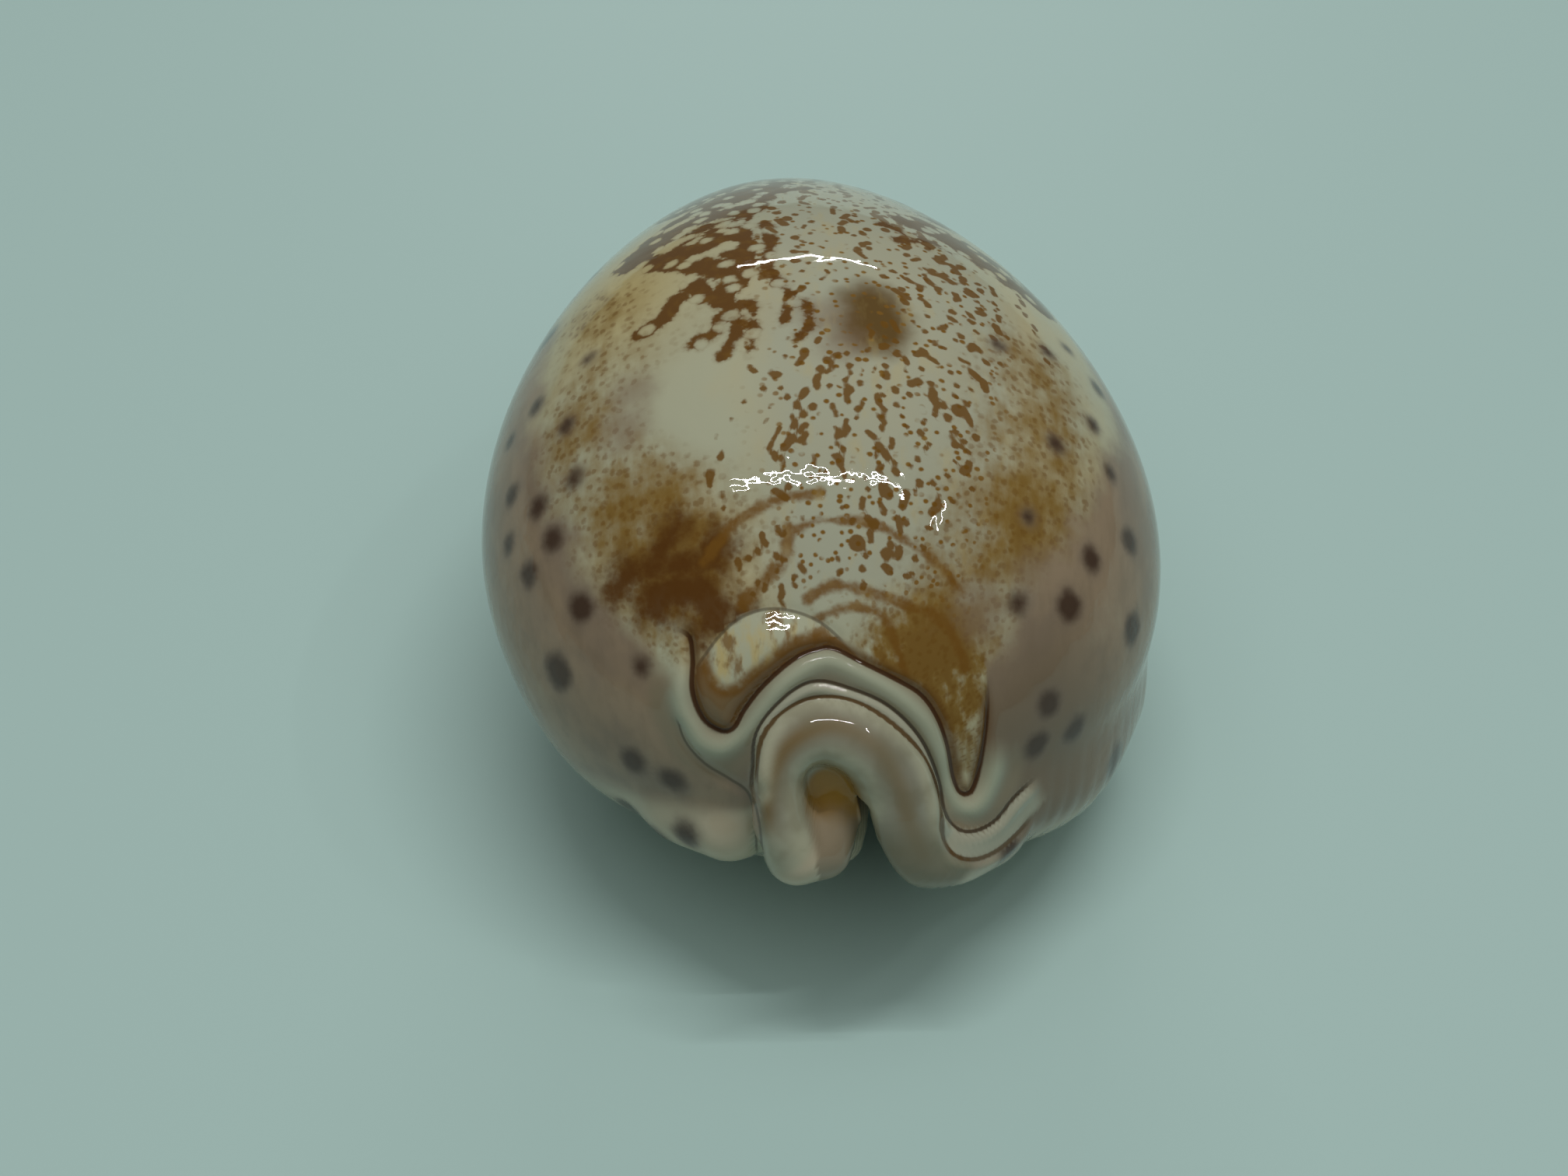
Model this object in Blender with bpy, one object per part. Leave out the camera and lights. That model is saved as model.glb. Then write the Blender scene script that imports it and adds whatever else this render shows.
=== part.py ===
"""Cowrie shell: a globose, glossy sea-snail shell resting on its base.

The shell grew as one piece, so it is one closed solid: an outer surface and an inner surface,
joined round the lips of the long aperture.  Both come from one grid wrapped round the aperture.
Across the grid, theta runs round the slit: 0 is the rear canal, a quarter turn the outer lip,
half a turn the front canal.  Along the grid, rows run from the crown of the back down the outside,
round the lip, and up the inside to the crown again.

Frame: metres, +Z up, +Y to the front (anterior) end, +X to the outer (labral) lip, origin at the
centre of the bounding box's bottom, on the resting plane.  Sizes below are in millimetres.
"""
import math

import bmesh
import bpy
import numpy as np

MM = 0.001
NAME = "shell"
COLLECTION = "cowrie_shell"

# --- grid ----------------------------------------------------------------------------------------
OUTER_LIP_SPACING = 1.25    # between columns along the outer lip: two columns to a tooth
INNER_LIP_SPACING = 2.3     # between columns along the inner lip
FAN_REAR = 21.0             # columns to a radian of theta, where they fan out over the rear end
FAN_FRONT = 13.0
OUTER_ROWS = 22             # crown to lip
LIP_ROWS = 3                # round the lip
INNER_ROWS = 5              # lip to crown, inside
ROW_CROWDING = 1.4          # rows stand closer towards the lip
CROWN = 7.5                 # the grid's parameter m at the crown; it is 0 on the slit
COURSE_STEPS = 300          # steps in m by which the way from slit to crown is measured
COURSE_CROWDING = 1.5
THETA_STEPS = 3600          # steps round the slit by which the columns are laid out

# --- body: a sphere's directions stretched into the shell's outline --------------------------------
HALF_LENGTH = 33.4          # middle to pole, without the canal lips
HALF_WIDTH = 25.0
HEIGHT = 40.5
WIDTH_TAPER = -0.25         # the front half is narrower than the rear half
WIDTH_WAIST = -0.06
HEIGHT_TAPER = -0.13
HEIGHT_WAIST = -0.09
BASE_SHARE = 0.52           # share of the height that lies below the widest line
BASE_FLATNESS = 0.19
WIDEST_ROUNDING = 0.25      # how softly back and base meet at the widest line
LEAN_X = -0.8
BEND_X = -1.45
LEAN_Z = 3.0
APERTURE_SHIFT = 11.5       # the aperture lies nearer the outer lip than the middle of the base
INNER_BULGE = 4.0           # the base also bulges down beside the inner lip, so the shell rests level
INNER_BULGE_AT = -0.57
INNER_BULGE_WIDTH = 0.23
REST_TILT = 7.4             # degrees, rear end up, as the shell settles on its base
REST_ROLL = 6.1             # degrees, outer lip down
FOOT_DEPTH = 0.45           # worn flat where the base touches what it rests on

# --- aperture --------------------------------------------------------------------------------------
GAP_HALF = 1.7              # half the width of the slit at its middle
GAP_HALF_END = 0.32         # half the width where the slit turns up into a canal
GAP_WIDENS = (0.35, 0.85)   # sines of theta between which the slit widens
GAP_FADE = 0.3              # how far from the slit the grid still feels its width
SIDE_TURN = 0.15            # how quickly one side of the slit turns into the other at its ends
CANAL_SHIFT = 0.115         # sideways bend of the slit towards its rear end, on the unit sphere
CANAL_FROM = 0.15           # the bend starts and ends at these shares of the slit's rear half
CANAL_TO = 0.58
TIP_FROM = 0.8              # from here on the slit's tip turns back and rises up the end
TIP_BACK = 0.035
TIP_RISE = 0.07
CANAL_FADE = 0.8
DROP_OUTER = 1.5            # rounding of the outer lip into the slit
DROP_INNER = 2.2            # rounding of the inner (columellar) lip
DROP_END = 0.5
DROP_GROWS = (0.3, 0.7)     # sines of theta between which the lips' rounding grows
TOOTH_REACH = 0.45          # how far a tooth of the outer lip stands into the slit
TOOTH_HEIGHT = 0.25
TOOTH_LENGTH = 1.8
TEETH_FROM = 6.0            # distance from either canal at which the teeth begin
TEETH_FADE = 5.0
WALL = 2.4                  # thickness of the wall over the back
WALL_LIP = 2.0              # extra thickness towards the lips
WALL_SPREAD = 14.0
COLUMELLA = 4.0             # extra depth of the wall standing inside the inner lip
COLUMELLA_SPREAD = 3.5
LIP_TURN = 2.5              # how far from the slit the inside surface starts
LIP_KNEE = 0.8              # share of the wall's depth at which the lip turns inwards

# --- canal ends: swellings given in the frame of each end --------------------------------------------
# A node is (u to the outer lip, v up the end, height of the crest out of the end, radius).
REAR_LEAN = 50.0            # the rear end's frame leans this far from the upright
REAR_COLLAR = [
    (-2.0, -3.4, 1.7, 2.3),
    (-3.2, -1.2, 2.8, 2.0),
    (-3.4, 1.9, 3.7, 1.8),
    (-2.2, 4.1, 4.5, 2.0),
    (0.1, 4.8, 4.8, 2.2),
    (2.7, 3.7, 4.6, 2.3),
    (4.4, 1.4, 3.5, 2.5),
    (5.2, -1.2, 2.2, 2.7),
    (6.2, -3.4, 0.5, 2.5),
    (9.2, -4.0, -2.2, 2.0),
    (12.0, -2.9, -5.4, 1.9),
]
REAR_FLOOR = [(-0.3, -3.2, 0.5, 2.2), (0.3, -1.6, 0.5, 2.0), (0.5, 0.6, 0.4, 1.6)]
REAR_SHOULDER = [
    (8.0, -0.4, -1.6, 4.2),
    (12.0, 0.6, -4.0, 4.4),
    (16.5, 3.5, -8.6, 6.0),
    (19.0, 8.0, -13.4, 7.0),
]
SPIRE = [(-6.4, 8.6, 2.6, 4.0), (-3.2, 9.8, 3.8, 4.2)]
CALLUS = [(-6.6, -1.2, -2.2, 3.0), (-9.2, 0.4, -3.6, 3.6)]
FRONT_LEAN = 20.0
FRONT_COLLAR = [
    (-4.6, -7.5, -4.4, 3.4),
    (-4.4, -3.0, -1.2, 2.8),
    (-3.2, 1.0, 0.4, 2.4),
    (0.0, 2.6, 0.8, 2.2),
    (3.2, 1.0, 0.4, 2.4),
    (4.4, -3.0, -1.2, 2.8),
    (4.6, -7.5, -4.4, 3.4),
]
REAR_SWELLINGS = [              # each with the width over which it blends in
    (REAR_COLLAR, 0.7),
    (REAR_FLOOR, 0.8),
    (REAR_SHOULDER, 2.5),
    (SPIRE, 1.6),
    (CALLUS, 1.5),
]
FRONT_SWELLINGS = [(FRONT_COLLAR, 2.5)]
SPLINE_STEPS = 5            # short tubes between two nodes of a swelling
SWELL_START = 12.0          # distance from the middle where the ends begin to swell
SWELL_REACH = 12.0          # how far above the body a swelling may stand
SWELL_STEPS = 26
SWELL_STRIDE = 0.9          # share of the free distance taken at each step
SWELL_SLOPE = 0.3           # least slope at which a ray meets the body
CORE_Y = 14.0               # the ends swell away from points this far from the middle
CORE_Z = 3.0


def turn(axis, degrees):
    """Rotation matrix about x or y."""
    c = math.cos(math.radians(degrees))
    s = math.sin(math.radians(degrees))
    if axis == "x":
        return np.array([[1, 0, 0], [0, c, -s], [0, s, c]])
    return np.array([[c, 0, s], [0, 1, 0], [-s, 0, c]])


REST = turn("x", -REST_TILT) @ turn("y", REST_ROLL)


def smooth(x, start, stop):
    """0 before start, 1 after stop, with soft ends."""
    t = np.clip((x - start) / (stop - start), 0, 1)
    return t * t * (3 - 2 * t)


def body(n):
    """The shell without its lips: unit directions n to points of the resting shell."""
    nx, ny, nz = n[..., 0], n[..., 1], n[..., 2]
    waist = ny ** 2 - 1 / 3
    middle = np.clip(1 - ny ** 2, 0, 1)
    half_width = HALF_WIDTH * (1 + WIDTH_TAPER * ny + WIDTH_WAIST * waist)
    height = HEIGHT * (1 + HEIGHT_TAPER * ny + HEIGHT_WAIST * waist)
    top = 0.5 * (1 + np.tanh(nz / WIDEST_ROUNDING))
    share = (1 - BASE_SHARE) * top + BASE_SHARE * (1 - top)
    x = half_width * nx + LEAN_X * ny + BEND_X * waist
    x = x + APERTURE_SHIFT * np.clip(-nz, 0, 1) ** 2 * middle
    y = HALF_LENGTH * ny
    z = height * share * nz * (1 - BASE_FLATNESS * (1 - top) * nz ** 2) + LEAN_Z * ny
    bulge = np.exp(-((nx - INNER_BULGE_AT) / INNER_BULGE_WIDTH) ** 2) * middle ** 1.5
    z = z - INNER_BULGE * bulge * (1 - top)
    return np.stack([x, y, z], -1) @ REST.T


STEEP = 0.9                 # directions steeper than this take x, not z, as the helper axis


def body_normals(n, step=1e-4):
    """Outward normals of body() at the unit directions n."""
    helper = np.where(np.abs(n[..., 2:]) < STEEP, [0.0, 0.0, 1.0], [1.0, 0.0, 0.0])
    a = np.cross(n, helper)
    a /= np.linalg.norm(a, axis=-1, keepdims=True)
    b = np.cross(n, a)
    across = body(n + step * a) - body(n - step * a)
    along = body(n + step * b) - body(n - step * b)
    out = np.cross(across, along)
    out /= np.linalg.norm(out, axis=-1, keepdims=True)
    return out * np.sign(np.sum(out * n, -1, keepdims=True))


def slit_directions(theta, m, gap):
    """Unit directions around the slit: m = 0 on the slit, large m towards the crown.

    In the plane that the sphere is projected on, the curves of constant m are ellipses round
    the slit, so the grid stays even from the slit to the crown.
    """
    bend = CANAL_SHIFT * smooth(np.cos(theta), CANAL_FROM, CANAL_TO)
    tip = smooth(np.cos(theta), TIP_FROM, 1.0)
    fade = np.exp(-(m / CANAL_FADE) ** 2)
    p = np.cosh(m) * np.cos(theta) + fade * TIP_RISE * tip
    q = np.sinh(m) * np.sin(theta) + np.exp(-m / GAP_FADE) * gap + fade * (bend - TIP_BACK * tip)
    r2 = p * p + q * q
    return np.stack([2 * q, -2 * p, r2 - 1], -1) / (1 + r2)[..., None]


def end_frame(sign, lean):
    """Origin and axes u, v, h of an end: sign -1 is the rear end, +1 the front end."""
    pole = body(np.array([0.0, sign, 0.0]))
    lean = math.radians(lean)
    u = np.array([1.0, 0.0, 0.0])
    v = np.array([0.0, -sign * math.sin(lean), math.cos(lean)])
    h = np.array([0.0, sign * math.cos(lean), math.sin(lean)])
    return pole, u, v, h


def spline(nodes):
    """A smooth run of nodes through the given ones (Catmull-Rom)."""
    knots = np.array(nodes)
    knots = np.vstack([2 * knots[0] - knots[1], knots, 2 * knots[-1] - knots[-2]])
    run = []
    for a, b, c, d in zip(knots[:-3], knots[1:-2], knots[2:-1], knots[3:]):
        for t in np.arange(SPLINE_STEPS) / SPLINE_STEPS:
            square = (2 * a - 5 * b + 4 * c - d) * t ** 2
            cube = (3 * b - a - 3 * c + d) * t ** 3
            run.append((2 * b + (c - a) * t + square + cube) / 2)
    run.append(knots[-2])
    return np.array(run)


def tubes(nodes, frame):
    """Tapering tubes along the crest of a swelling: end centres and radii of each."""
    pole, u, v, h = frame
    run = spline(nodes)
    centres = pole + run[:, :1] * u + run[:, 1:2] * v + (run[:, 2:3] - run[:, 3:]) * h
    return list(zip(centres[:-1], centres[1:], run[:-1, 3], run[1:, 3]))


def tube_distance(points, chain):
    """Distance from the points to a chain of tapering tubes, negative inside."""
    nearest = np.full(points.shape[:-1], np.inf)
    for a, b, radius_a, radius_b in chain:
        ab = b - a
        t = np.clip((points - a) @ ab / (ab @ ab), 0, 1)
        gap = np.linalg.norm(points - a - t[..., None] * ab, axis=-1)
        nearest = np.minimum(nearest, gap - radius_a - (radius_b - radius_a) * t)
    return nearest


def smooth_min(a, b, blend):
    """The smaller of two distances, with the crease between them filled over `blend`."""
    h = np.clip(0.5 + 0.5 * (b - a) / blend, 0, 1)
    return b * (1 - h) + a * h - blend * h * (1 - h)


def swell(points, normals, sign, lean, swellings):
    """Push points of the body outwards, away from a core, onto the swellings of one end.

    Each point's ray is followed inwards from outside until it meets the body or a tube.
    """
    frame = end_frame(sign, lean)
    rays = points - np.array([0.0, sign * CORE_Y, CORE_Z])
    rays = rays / np.linalg.norm(rays, axis=-1, keepdims=True)
    steepness = np.clip(np.sum(rays * normals, -1), SWELL_SLOPE, 1)
    chains = [(tubes(nodes, frame), blend) for nodes, blend in swellings]
    t = np.full(points.shape[:-1], SWELL_REACH)
    for _ in range(SWELL_STEPS):
        here = points + rays * t[..., None]
        distance = t * steepness
        for chain, blend in chains:
            distance = smooth_min(distance, tube_distance(here, chain), blend)
        t = t - SWELL_STRIDE * distance
    return points + rays * t[..., None]


def columns():
    """Number and angle theta of every column, the last one closing on the first.

    Columns stand evenly along each lip, and fan out evenly over the two ends.
    """
    theta = np.linspace(0, 2 * math.pi, THETA_STEPS + 1)
    middle = (theta[1:] + theta[:-1]) / 2
    slit = body(slit_directions(theta, 0.0, 0.0))
    speed = np.linalg.norm(np.diff(slit, axis=0), axis=-1) / np.diff(theta)
    spacing = np.where(middle < math.pi, OUTER_LIP_SPACING, INNER_LIP_SPACING)
    fan = (FAN_REAR + FAN_FRONT) / 2 + (FAN_REAR - FAN_FRONT) / 2 * np.cos(middle)
    count = np.concatenate([[0], np.cumsum(np.hypot(speed / spacing, fan) * np.diff(theta))])
    half = len(theta) // 2
    outer, inner = 2 * round(count[half] / 2), round(count[-1] - count[half])
    number = np.concatenate([
        count[:half] * outer / count[half],
        outer + (count[half:] - count[half]) * inner / (count[-1] - count[half]),
    ])
    column = np.arange(outer + inner + 1)
    return column, np.interp(column, number, theta)


def teeth(column, theta):
    """Height of the outer lip's teeth at each column, 0 to 1."""
    slit = body(slit_directions(theta, 0.0, 0.0))
    length = np.concatenate([[0], np.cumsum(np.linalg.norm(np.diff(slit, axis=0), axis=-1))])
    front = length[np.argmin(np.abs(theta - math.pi))]
    from_canal = np.minimum(length, front - length)
    wave = 0.5 - 0.5 * np.cos(math.pi * column)
    return wave * smooth(from_canal, TEETH_FROM, TEETH_FROM + TEETH_FADE)


def shell_points():
    """Positions of the whole grid, in millimetres: [column, row, xyz]."""
    column, theta = columns()
    pattern = teeth(column, theta)
    angle = theta[:, None]
    side = np.sin(angle)

    fine = np.linspace(0, 1, COURSE_STEPS) ** COURSE_CROWDING * CROWN
    course = body(slit_directions(angle, fine[None, :], 0.0))
    reach = np.cumsum(np.linalg.norm(np.diff(course, axis=1), axis=-1), axis=1)
    reach = np.hstack([np.zeros((len(theta), 1)), reach])

    half_gap = GAP_HALF_END + (GAP_HALF - GAP_HALF_END) * smooth(np.abs(side), *GAP_WIDENS)
    half_gap = half_gap - TOOTH_REACH * pattern[:, None]
    gap = half_gap / (2 * HALF_WIDTH) * (1 + np.cos(angle) ** 2) * np.tanh(side / SIDE_TURN)
    drop = np.where(side > 0, DROP_OUTER, DROP_INNER)
    drop = DROP_END + (drop - DROP_END) * smooth(np.abs(side), *DROP_GROWS)

    def surface(fractions):
        """Body points, normals and distances from the slit, at fractions of the way to the crown."""
        distance = fractions[None, :] * reach[:, -1:]
        m = np.stack([np.interp(d, r, fine) for d, r in zip(distance, reach)])
        n = slit_directions(angle, m, gap)
        return body(n), body_normals(n), distance

    points, normals, distance = surface(np.linspace(1, 0, OUTER_ROWS + 1) ** ROW_CROWDING)
    rear = points[..., 1] < -SWELL_START
    points[rear] = swell(points[rear], normals[rear], -1, REAR_LEAN, REAR_SWELLINGS)
    front = points[..., 1] > SWELL_START
    points[front] = swell(points[front], normals[front], 1, FRONT_LEAN, FRONT_SWELLINGS)
    sunk = np.clip(1 - distance / drop, 0, 1)
    lowering = drop * (1 - np.sqrt(1 - sunk ** 2))
    raising = TOOTH_HEIGHT * pattern[:, None] * np.exp(-(distance / TOOTH_LENGTH) ** 2)
    outer = points + normals * (raising - lowering)[..., None]

    start = LIP_TURN / reach[:, -1].max()
    inner_fractions = start + (1 - start) * np.linspace(0, 1, INNER_ROWS + 1) ** ROW_CROWDING
    points, normals, distance = surface(inner_fractions)
    depth = WALL + WALL_LIP * np.exp(-(distance / WALL_SPREAD) ** 2)
    depth = depth + COLUMELLA * np.clip(-side, 0, 1) * np.exp(-(distance / COLUMELLA_SPREAD) ** 2)
    inner = points - normals * depth[..., None]

    rim, inside = outer[:, -1:], inner[:, :1]
    knee = rim - normals[:, :1] * LIP_KNEE * depth[:, :1, None]
    t = (np.arange(1, LIP_ROWS) / LIP_ROWS)[None, :, None]
    lip = (1 - t) ** 2 * rim + 2 * t * (1 - t) * knee + t ** 2 * inside
    return np.concatenate([outer, lip, inner], axis=1)


def close_and_place(points):
    """Close the crowns, flatten the foot and set the origin on the resting plane."""
    points[:, 0] = points[:, 0].mean(axis=0)
    points[:, -1] = points[:, -1].mean(axis=0)
    points[-1] = points[0]
    foot = points[..., 2].min() + FOOT_DEPTH
    points[..., 2] = np.maximum(points[..., 2], foot) - foot
    flat = points.reshape(-1, 3)
    points[..., :2] -= (flat.min(axis=0) + flat.max(axis=0))[:2] / 2
    return points


def build_shell():
    """The shell's grid of points as one closed mesh."""
    points = close_and_place(shell_points()) * MM
    across, along = points.shape[0] - 1, points.shape[1] - 1
    bm = bmesh.new()
    bmesh.ops.create_grid(bm, x_segments=across, y_segments=along, size=1.0)
    for vert in bm.verts:
        column = round((vert.co.x + 1) / 2 * across)
        row = round((vert.co.y + 1) / 2 * along)
        vert.co = points[column, row]
    bmesh.ops.remove_doubles(bm, verts=bm.verts, dist=1e-6)
    bmesh.ops.triangulate(bm, faces=bm.faces)
    bmesh.ops.recalc_face_normals(bm, faces=bm.faces)
    mesh = bpy.data.meshes.new(NAME)
    bm.to_mesh(mesh)
    bm.free()
    mesh.shade_smooth()
    return bpy.data.objects.new(NAME, mesh)


def enamel():
    """Glossy cream enamel with the warm grey tone of the shell's sides."""
    material = bpy.data.materials.new("shell_enamel")
    material.use_nodes = True
    bsdf = material.node_tree.nodes["Principled BSDF"]
    bsdf.inputs["Base Color"].default_value = (0.55, 0.44, 0.30, 1.0)
    bsdf.inputs["Roughness"].default_value = 0.12
    bsdf.inputs["Metallic"].default_value = 0.0
    return material


def main():
    for obj in list(bpy.data.objects):
        bpy.data.objects.remove(obj)
    collection = bpy.data.collections.new(COLLECTION)
    bpy.context.scene.collection.children.link(collection)
    shell = build_shell()
    shell.data.materials.append(enamel())
    collection.objects.link(shell)


main()
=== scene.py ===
"""Looks of the cowrie shell: its fine surface, markings, glaze, floor, light and camera.

The shell's surface repeats the CAD model's own construction, in millimetres, on a finer grid, and
adds the thin ridges, the bead and the grooves of the rear end.  Markings are distances, in
millimetres, to short strokes and spots laid out on the body: lon is 0 on the back and +-180 on the
base, positive to the outer lip; lat is -90 at the rear pole and +90 at the front pole.
Those that the shader reads are stored on the mesh, and it turns them into crisp or soft edges.
"""
import math

import bpy
import numpy as np
from mathutils import Matrix, Vector


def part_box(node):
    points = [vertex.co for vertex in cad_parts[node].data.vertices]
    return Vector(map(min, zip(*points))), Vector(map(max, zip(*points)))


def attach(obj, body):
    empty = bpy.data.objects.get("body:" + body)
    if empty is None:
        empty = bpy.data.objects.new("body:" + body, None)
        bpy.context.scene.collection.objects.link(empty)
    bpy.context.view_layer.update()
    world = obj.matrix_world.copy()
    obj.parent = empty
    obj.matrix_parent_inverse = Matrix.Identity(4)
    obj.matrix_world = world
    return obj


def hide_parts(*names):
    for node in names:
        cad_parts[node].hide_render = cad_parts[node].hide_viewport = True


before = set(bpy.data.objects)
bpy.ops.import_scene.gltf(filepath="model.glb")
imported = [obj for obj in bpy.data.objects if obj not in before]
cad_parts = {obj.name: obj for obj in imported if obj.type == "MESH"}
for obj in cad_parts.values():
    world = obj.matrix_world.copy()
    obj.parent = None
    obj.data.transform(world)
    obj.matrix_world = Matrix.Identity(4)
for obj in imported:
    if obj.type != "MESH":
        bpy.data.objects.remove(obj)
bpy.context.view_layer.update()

MM = 0.001
SEED = 11

# --- grid ---
# Columns as (spacing along the outer lip, spacing along the inner lip, columns to a radian of theta
# where they fan out over the rear end, the same at the front end).
CAD_COLUMNS = (1.25, 2.3, 21.0, 13.0)  # the CAD model's: two of them make a tooth
FINE_COLUMNS = (0.43, 0.55, 88.0, 36.0)
FINE_ROWS = 150  # crown to lip; then round the lip, and inside
FINE_LIP_ROWS = 8
FINE_INNER_ROWS = 12
ROW_CROWDING = 1.4  # the rows inside stand closer towards the lip
REAR_CROWDING = 0.45  # the rows stand closer near the slit's rear end, for its thin ridges
REAR_CROWDING_REACH = 0.16
REAR_CROWDING_TURN = 0.8  # theta over which this fades
CROWN = 7.5  # the grid's parameter m at the crown; it is 0 on the slit
COURSE_STEPS = 300  # steps in m by which the way from slit to crown is measured
COURSE_CROWDING = 1.5
THETA_STEPS = 3600  # steps round the slit by which the columns are laid out
MAP_LARGE = 0.88  # sides of the two squares in the map for baking
MAP_SMALL = 0.11
MAP_BULGE = 0.35  # extra share of the map for the back

# --- body: a sphere's directions stretched into the shell's outline ---
HALF_LENGTH = 33.4  # middle to pole, without the canal lips
HALF_WIDTH = 25.0
HEIGHT = 40.5
WIDTH_TAPER = -0.25  # the front half is narrower than the rear half
WIDTH_WAIST = -0.06
HEIGHT_TAPER = -0.13
HEIGHT_WAIST = -0.09
BASE_SHARE = 0.52  # share of the height that lies below the widest line
BASE_FLATNESS = 0.19
WIDEST_ROUNDING = 0.25  # how softly back and base meet at the widest line
LEAN_X = -0.8
BEND_X = -1.45
LEAN_Z = 3.0
APERTURE_SHIFT = 11.5  # the aperture lies nearer the outer lip than the middle of the base
INNER_BULGE = 4.0  # the base also bulges down beside the inner lip, so the shell rests level
INNER_BULGE_AT = -0.57
INNER_BULGE_WIDTH = 0.23
REST_TILT = 7.4  # degrees, rear end up, as the shell settles on its base
REST_ROLL = 6.1  # degrees, outer lip down
FOOT_DEPTH = 0.45  # worn flat where the base touches what it rests on
STEEP = 0.9  # directions steeper than this take x, not z, as the helper axis

# --- aperture ---
GAP_HALF = 1.7  # half the width of the slit at its middle
GAP_HALF_END = 0.32  # half the width where the slit turns up into a canal
GAP_WIDENS = (0.35, 0.85)  # sines of theta between which the slit widens
GAP_FADE = 0.3  # how far from the slit the grid still feels its width
SIDE_TURN = 0.15  # how quickly one side of the slit turns into the other at its ends
CANAL_SHIFT = 0.115  # sideways bend of the slit towards its rear end, on the unit sphere
CANAL_FROM = 0.15  # the bend starts and ends at these shares of the slit's rear half
CANAL_TO = 0.58
TIP_FROM = 0.8  # from here on the slit's tip turns back and rises up the end
TIP_BACK = 0.035
TIP_RISE = 0.07
CANAL_FADE = 0.8
DROP_OUTER = 1.5  # rounding of the outer lip into the slit
DROP_INNER = 2.2  # rounding of the inner (columellar) lip
DROP_END = 0.5
DROP_GROWS = (0.3, 0.7)  # sines of theta between which the lips' rounding grows
TOOTH_REACH = 0.45  # how far a tooth of the outer lip stands into the slit
INNER_TOOTH_SHARE = 0.5  # the inner lip's teeth stand in less
TOOTH_HEIGHT = 0.25
INNER_TOOTH_HEIGHT = 0.1
TOOTH_LENGTH = 1.8
TEETH_FROM = 6.0  # distance from either canal at which the teeth begin
TEETH_FADE = 5.0
WALL = 2.4  # thickness of the wall over the back
WALL_LIP = 2.0  # extra thickness towards the lips
WALL_SPREAD = 14.0
COLUMELLA = 4.0  # extra depth of the wall standing inside the inner lip
COLUMELLA_SPREAD = 3.5
LIP_TURN = 2.5  # how far from the slit the inside surface starts
LIP_KNEE = 0.8  # share of the wall's depth at which the lip turns inwards

# --- canal ends: swellings given in the frame of each end ---
# A node is (u to the outer lip, v up the end, height of the crest out of the end, radius).
REAR_LEAN = 50.0  # the rear end's frame leans this far from the upright
REAR_COLLAR = [
    (-2.0, -3.4, 1.7, 2.3),
    (-3.2, -1.2, 2.8, 2.0),
    (-3.4, 1.9, 3.7, 1.8),
    (-2.2, 4.1, 4.5, 2.0),
    (0.1, 4.8, 4.8, 2.2),
    (2.7, 3.7, 4.6, 2.3),
    (4.4, 1.4, 3.5, 2.5),
    (5.2, -1.2, 2.2, 2.7),
    (6.2, -3.4, 0.5, 2.5),
    (9.2, -4.0, -2.2, 2.0),
    (12.0, -2.9, -5.4, 1.9),
]
REAR_FLOOR = [(-0.3, -3.2, 0.5, 2.2), (0.3, -1.6, 0.5, 2.0), (0.5, 0.6, 0.4, 1.6)]
REAR_SHOULDER = [
    (8.0, -0.4, -1.6, 4.2),
    (12.0, 0.6, -4.0, 4.4),
    (16.5, 3.5, -8.6, 6.0),
    (19.0, 8.0, -13.4, 7.0),
]
SPIRE = [(-6.4, 8.6, 2.6, 4.0), (-3.2, 9.8, 3.8, 4.2)]
CALLUS = [(-6.6, -1.2, -2.2, 3.0), (-9.2, 0.4, -3.6, 3.6)]
FRONT_LEAN = 20.0
FRONT_COLLAR = [
    (-4.6, -7.5, -4.4, 3.4),
    (-4.4, -3.0, -1.2, 2.8),
    (-3.2, 1.0, 0.4, 2.4),
    (0.0, 2.6, 0.8, 2.2),
    (3.2, 1.0, 0.4, 2.4),
    (4.4, -3.0, -1.2, 2.8),
    (4.6, -7.5, -4.4, 3.4),
]
REAR_SWELLINGS = [  # each with the width over which it blends in
    (REAR_COLLAR, 0.7),
    (REAR_FLOOR, 0.8),
    (REAR_SHOULDER, 2.5),
    (SPIRE, 1.6),
    (CALLUS, 1.5),
]
FRONT_SWELLINGS = [(FRONT_COLLAR, 2.5)]
SPLINE_STEPS = 5  # short tubes between two nodes of a swelling
LINE_STEPS = 6  # straight pieces between two knots of a rear line
PATH_STEPS = 3  # straight pieces between two places of a stroke
FAR = 9.0  # the distance that a mark starts from, where nothing is nearer
SWELL_START = 12.0  # distance from the middle where the ends begin to swell
SWELL_REACH = 12.0  # how far above the body a swelling may stand
SWELL_STEPS = 26
SWELL_STRIDE = 0.9  # share of the free distance taken at each step
SWELL_SLOPE = 0.3  # least slope at which a ray meets the body
CORE_Y = 14.0  # the ends swell away from points this far from the middle
CORE_Z = 3.0


def turn(axis, degrees):
    """Rotation matrix about x or y."""
    c = math.cos(math.radians(degrees))
    s = math.sin(math.radians(degrees))
    if axis == "x":
        return np.array([[1, 0, 0], [0, c, -s], [0, s, c]])
    return np.array([[c, 0, s], [0, 1, 0], [-s, 0, c]])


REST = turn("x", -REST_TILT) @ turn("y", REST_ROLL)


def smooth(x, start, stop):
    """0 before start, 1 after stop, with soft ends."""
    t = np.clip((x - start) / (stop - start), 0, 1)
    return t * t * (3 - 2 * t)


def bell(x, width, middle=0.0):
    """1 at the middle, fading to 0 on either side."""
    return np.exp(-((x - middle) / width) ** 2)


def unit(vectors):
    """The vectors, each brought to length 1."""
    return vectors / np.linalg.norm(vectors, axis=-1, keepdims=True)


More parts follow.
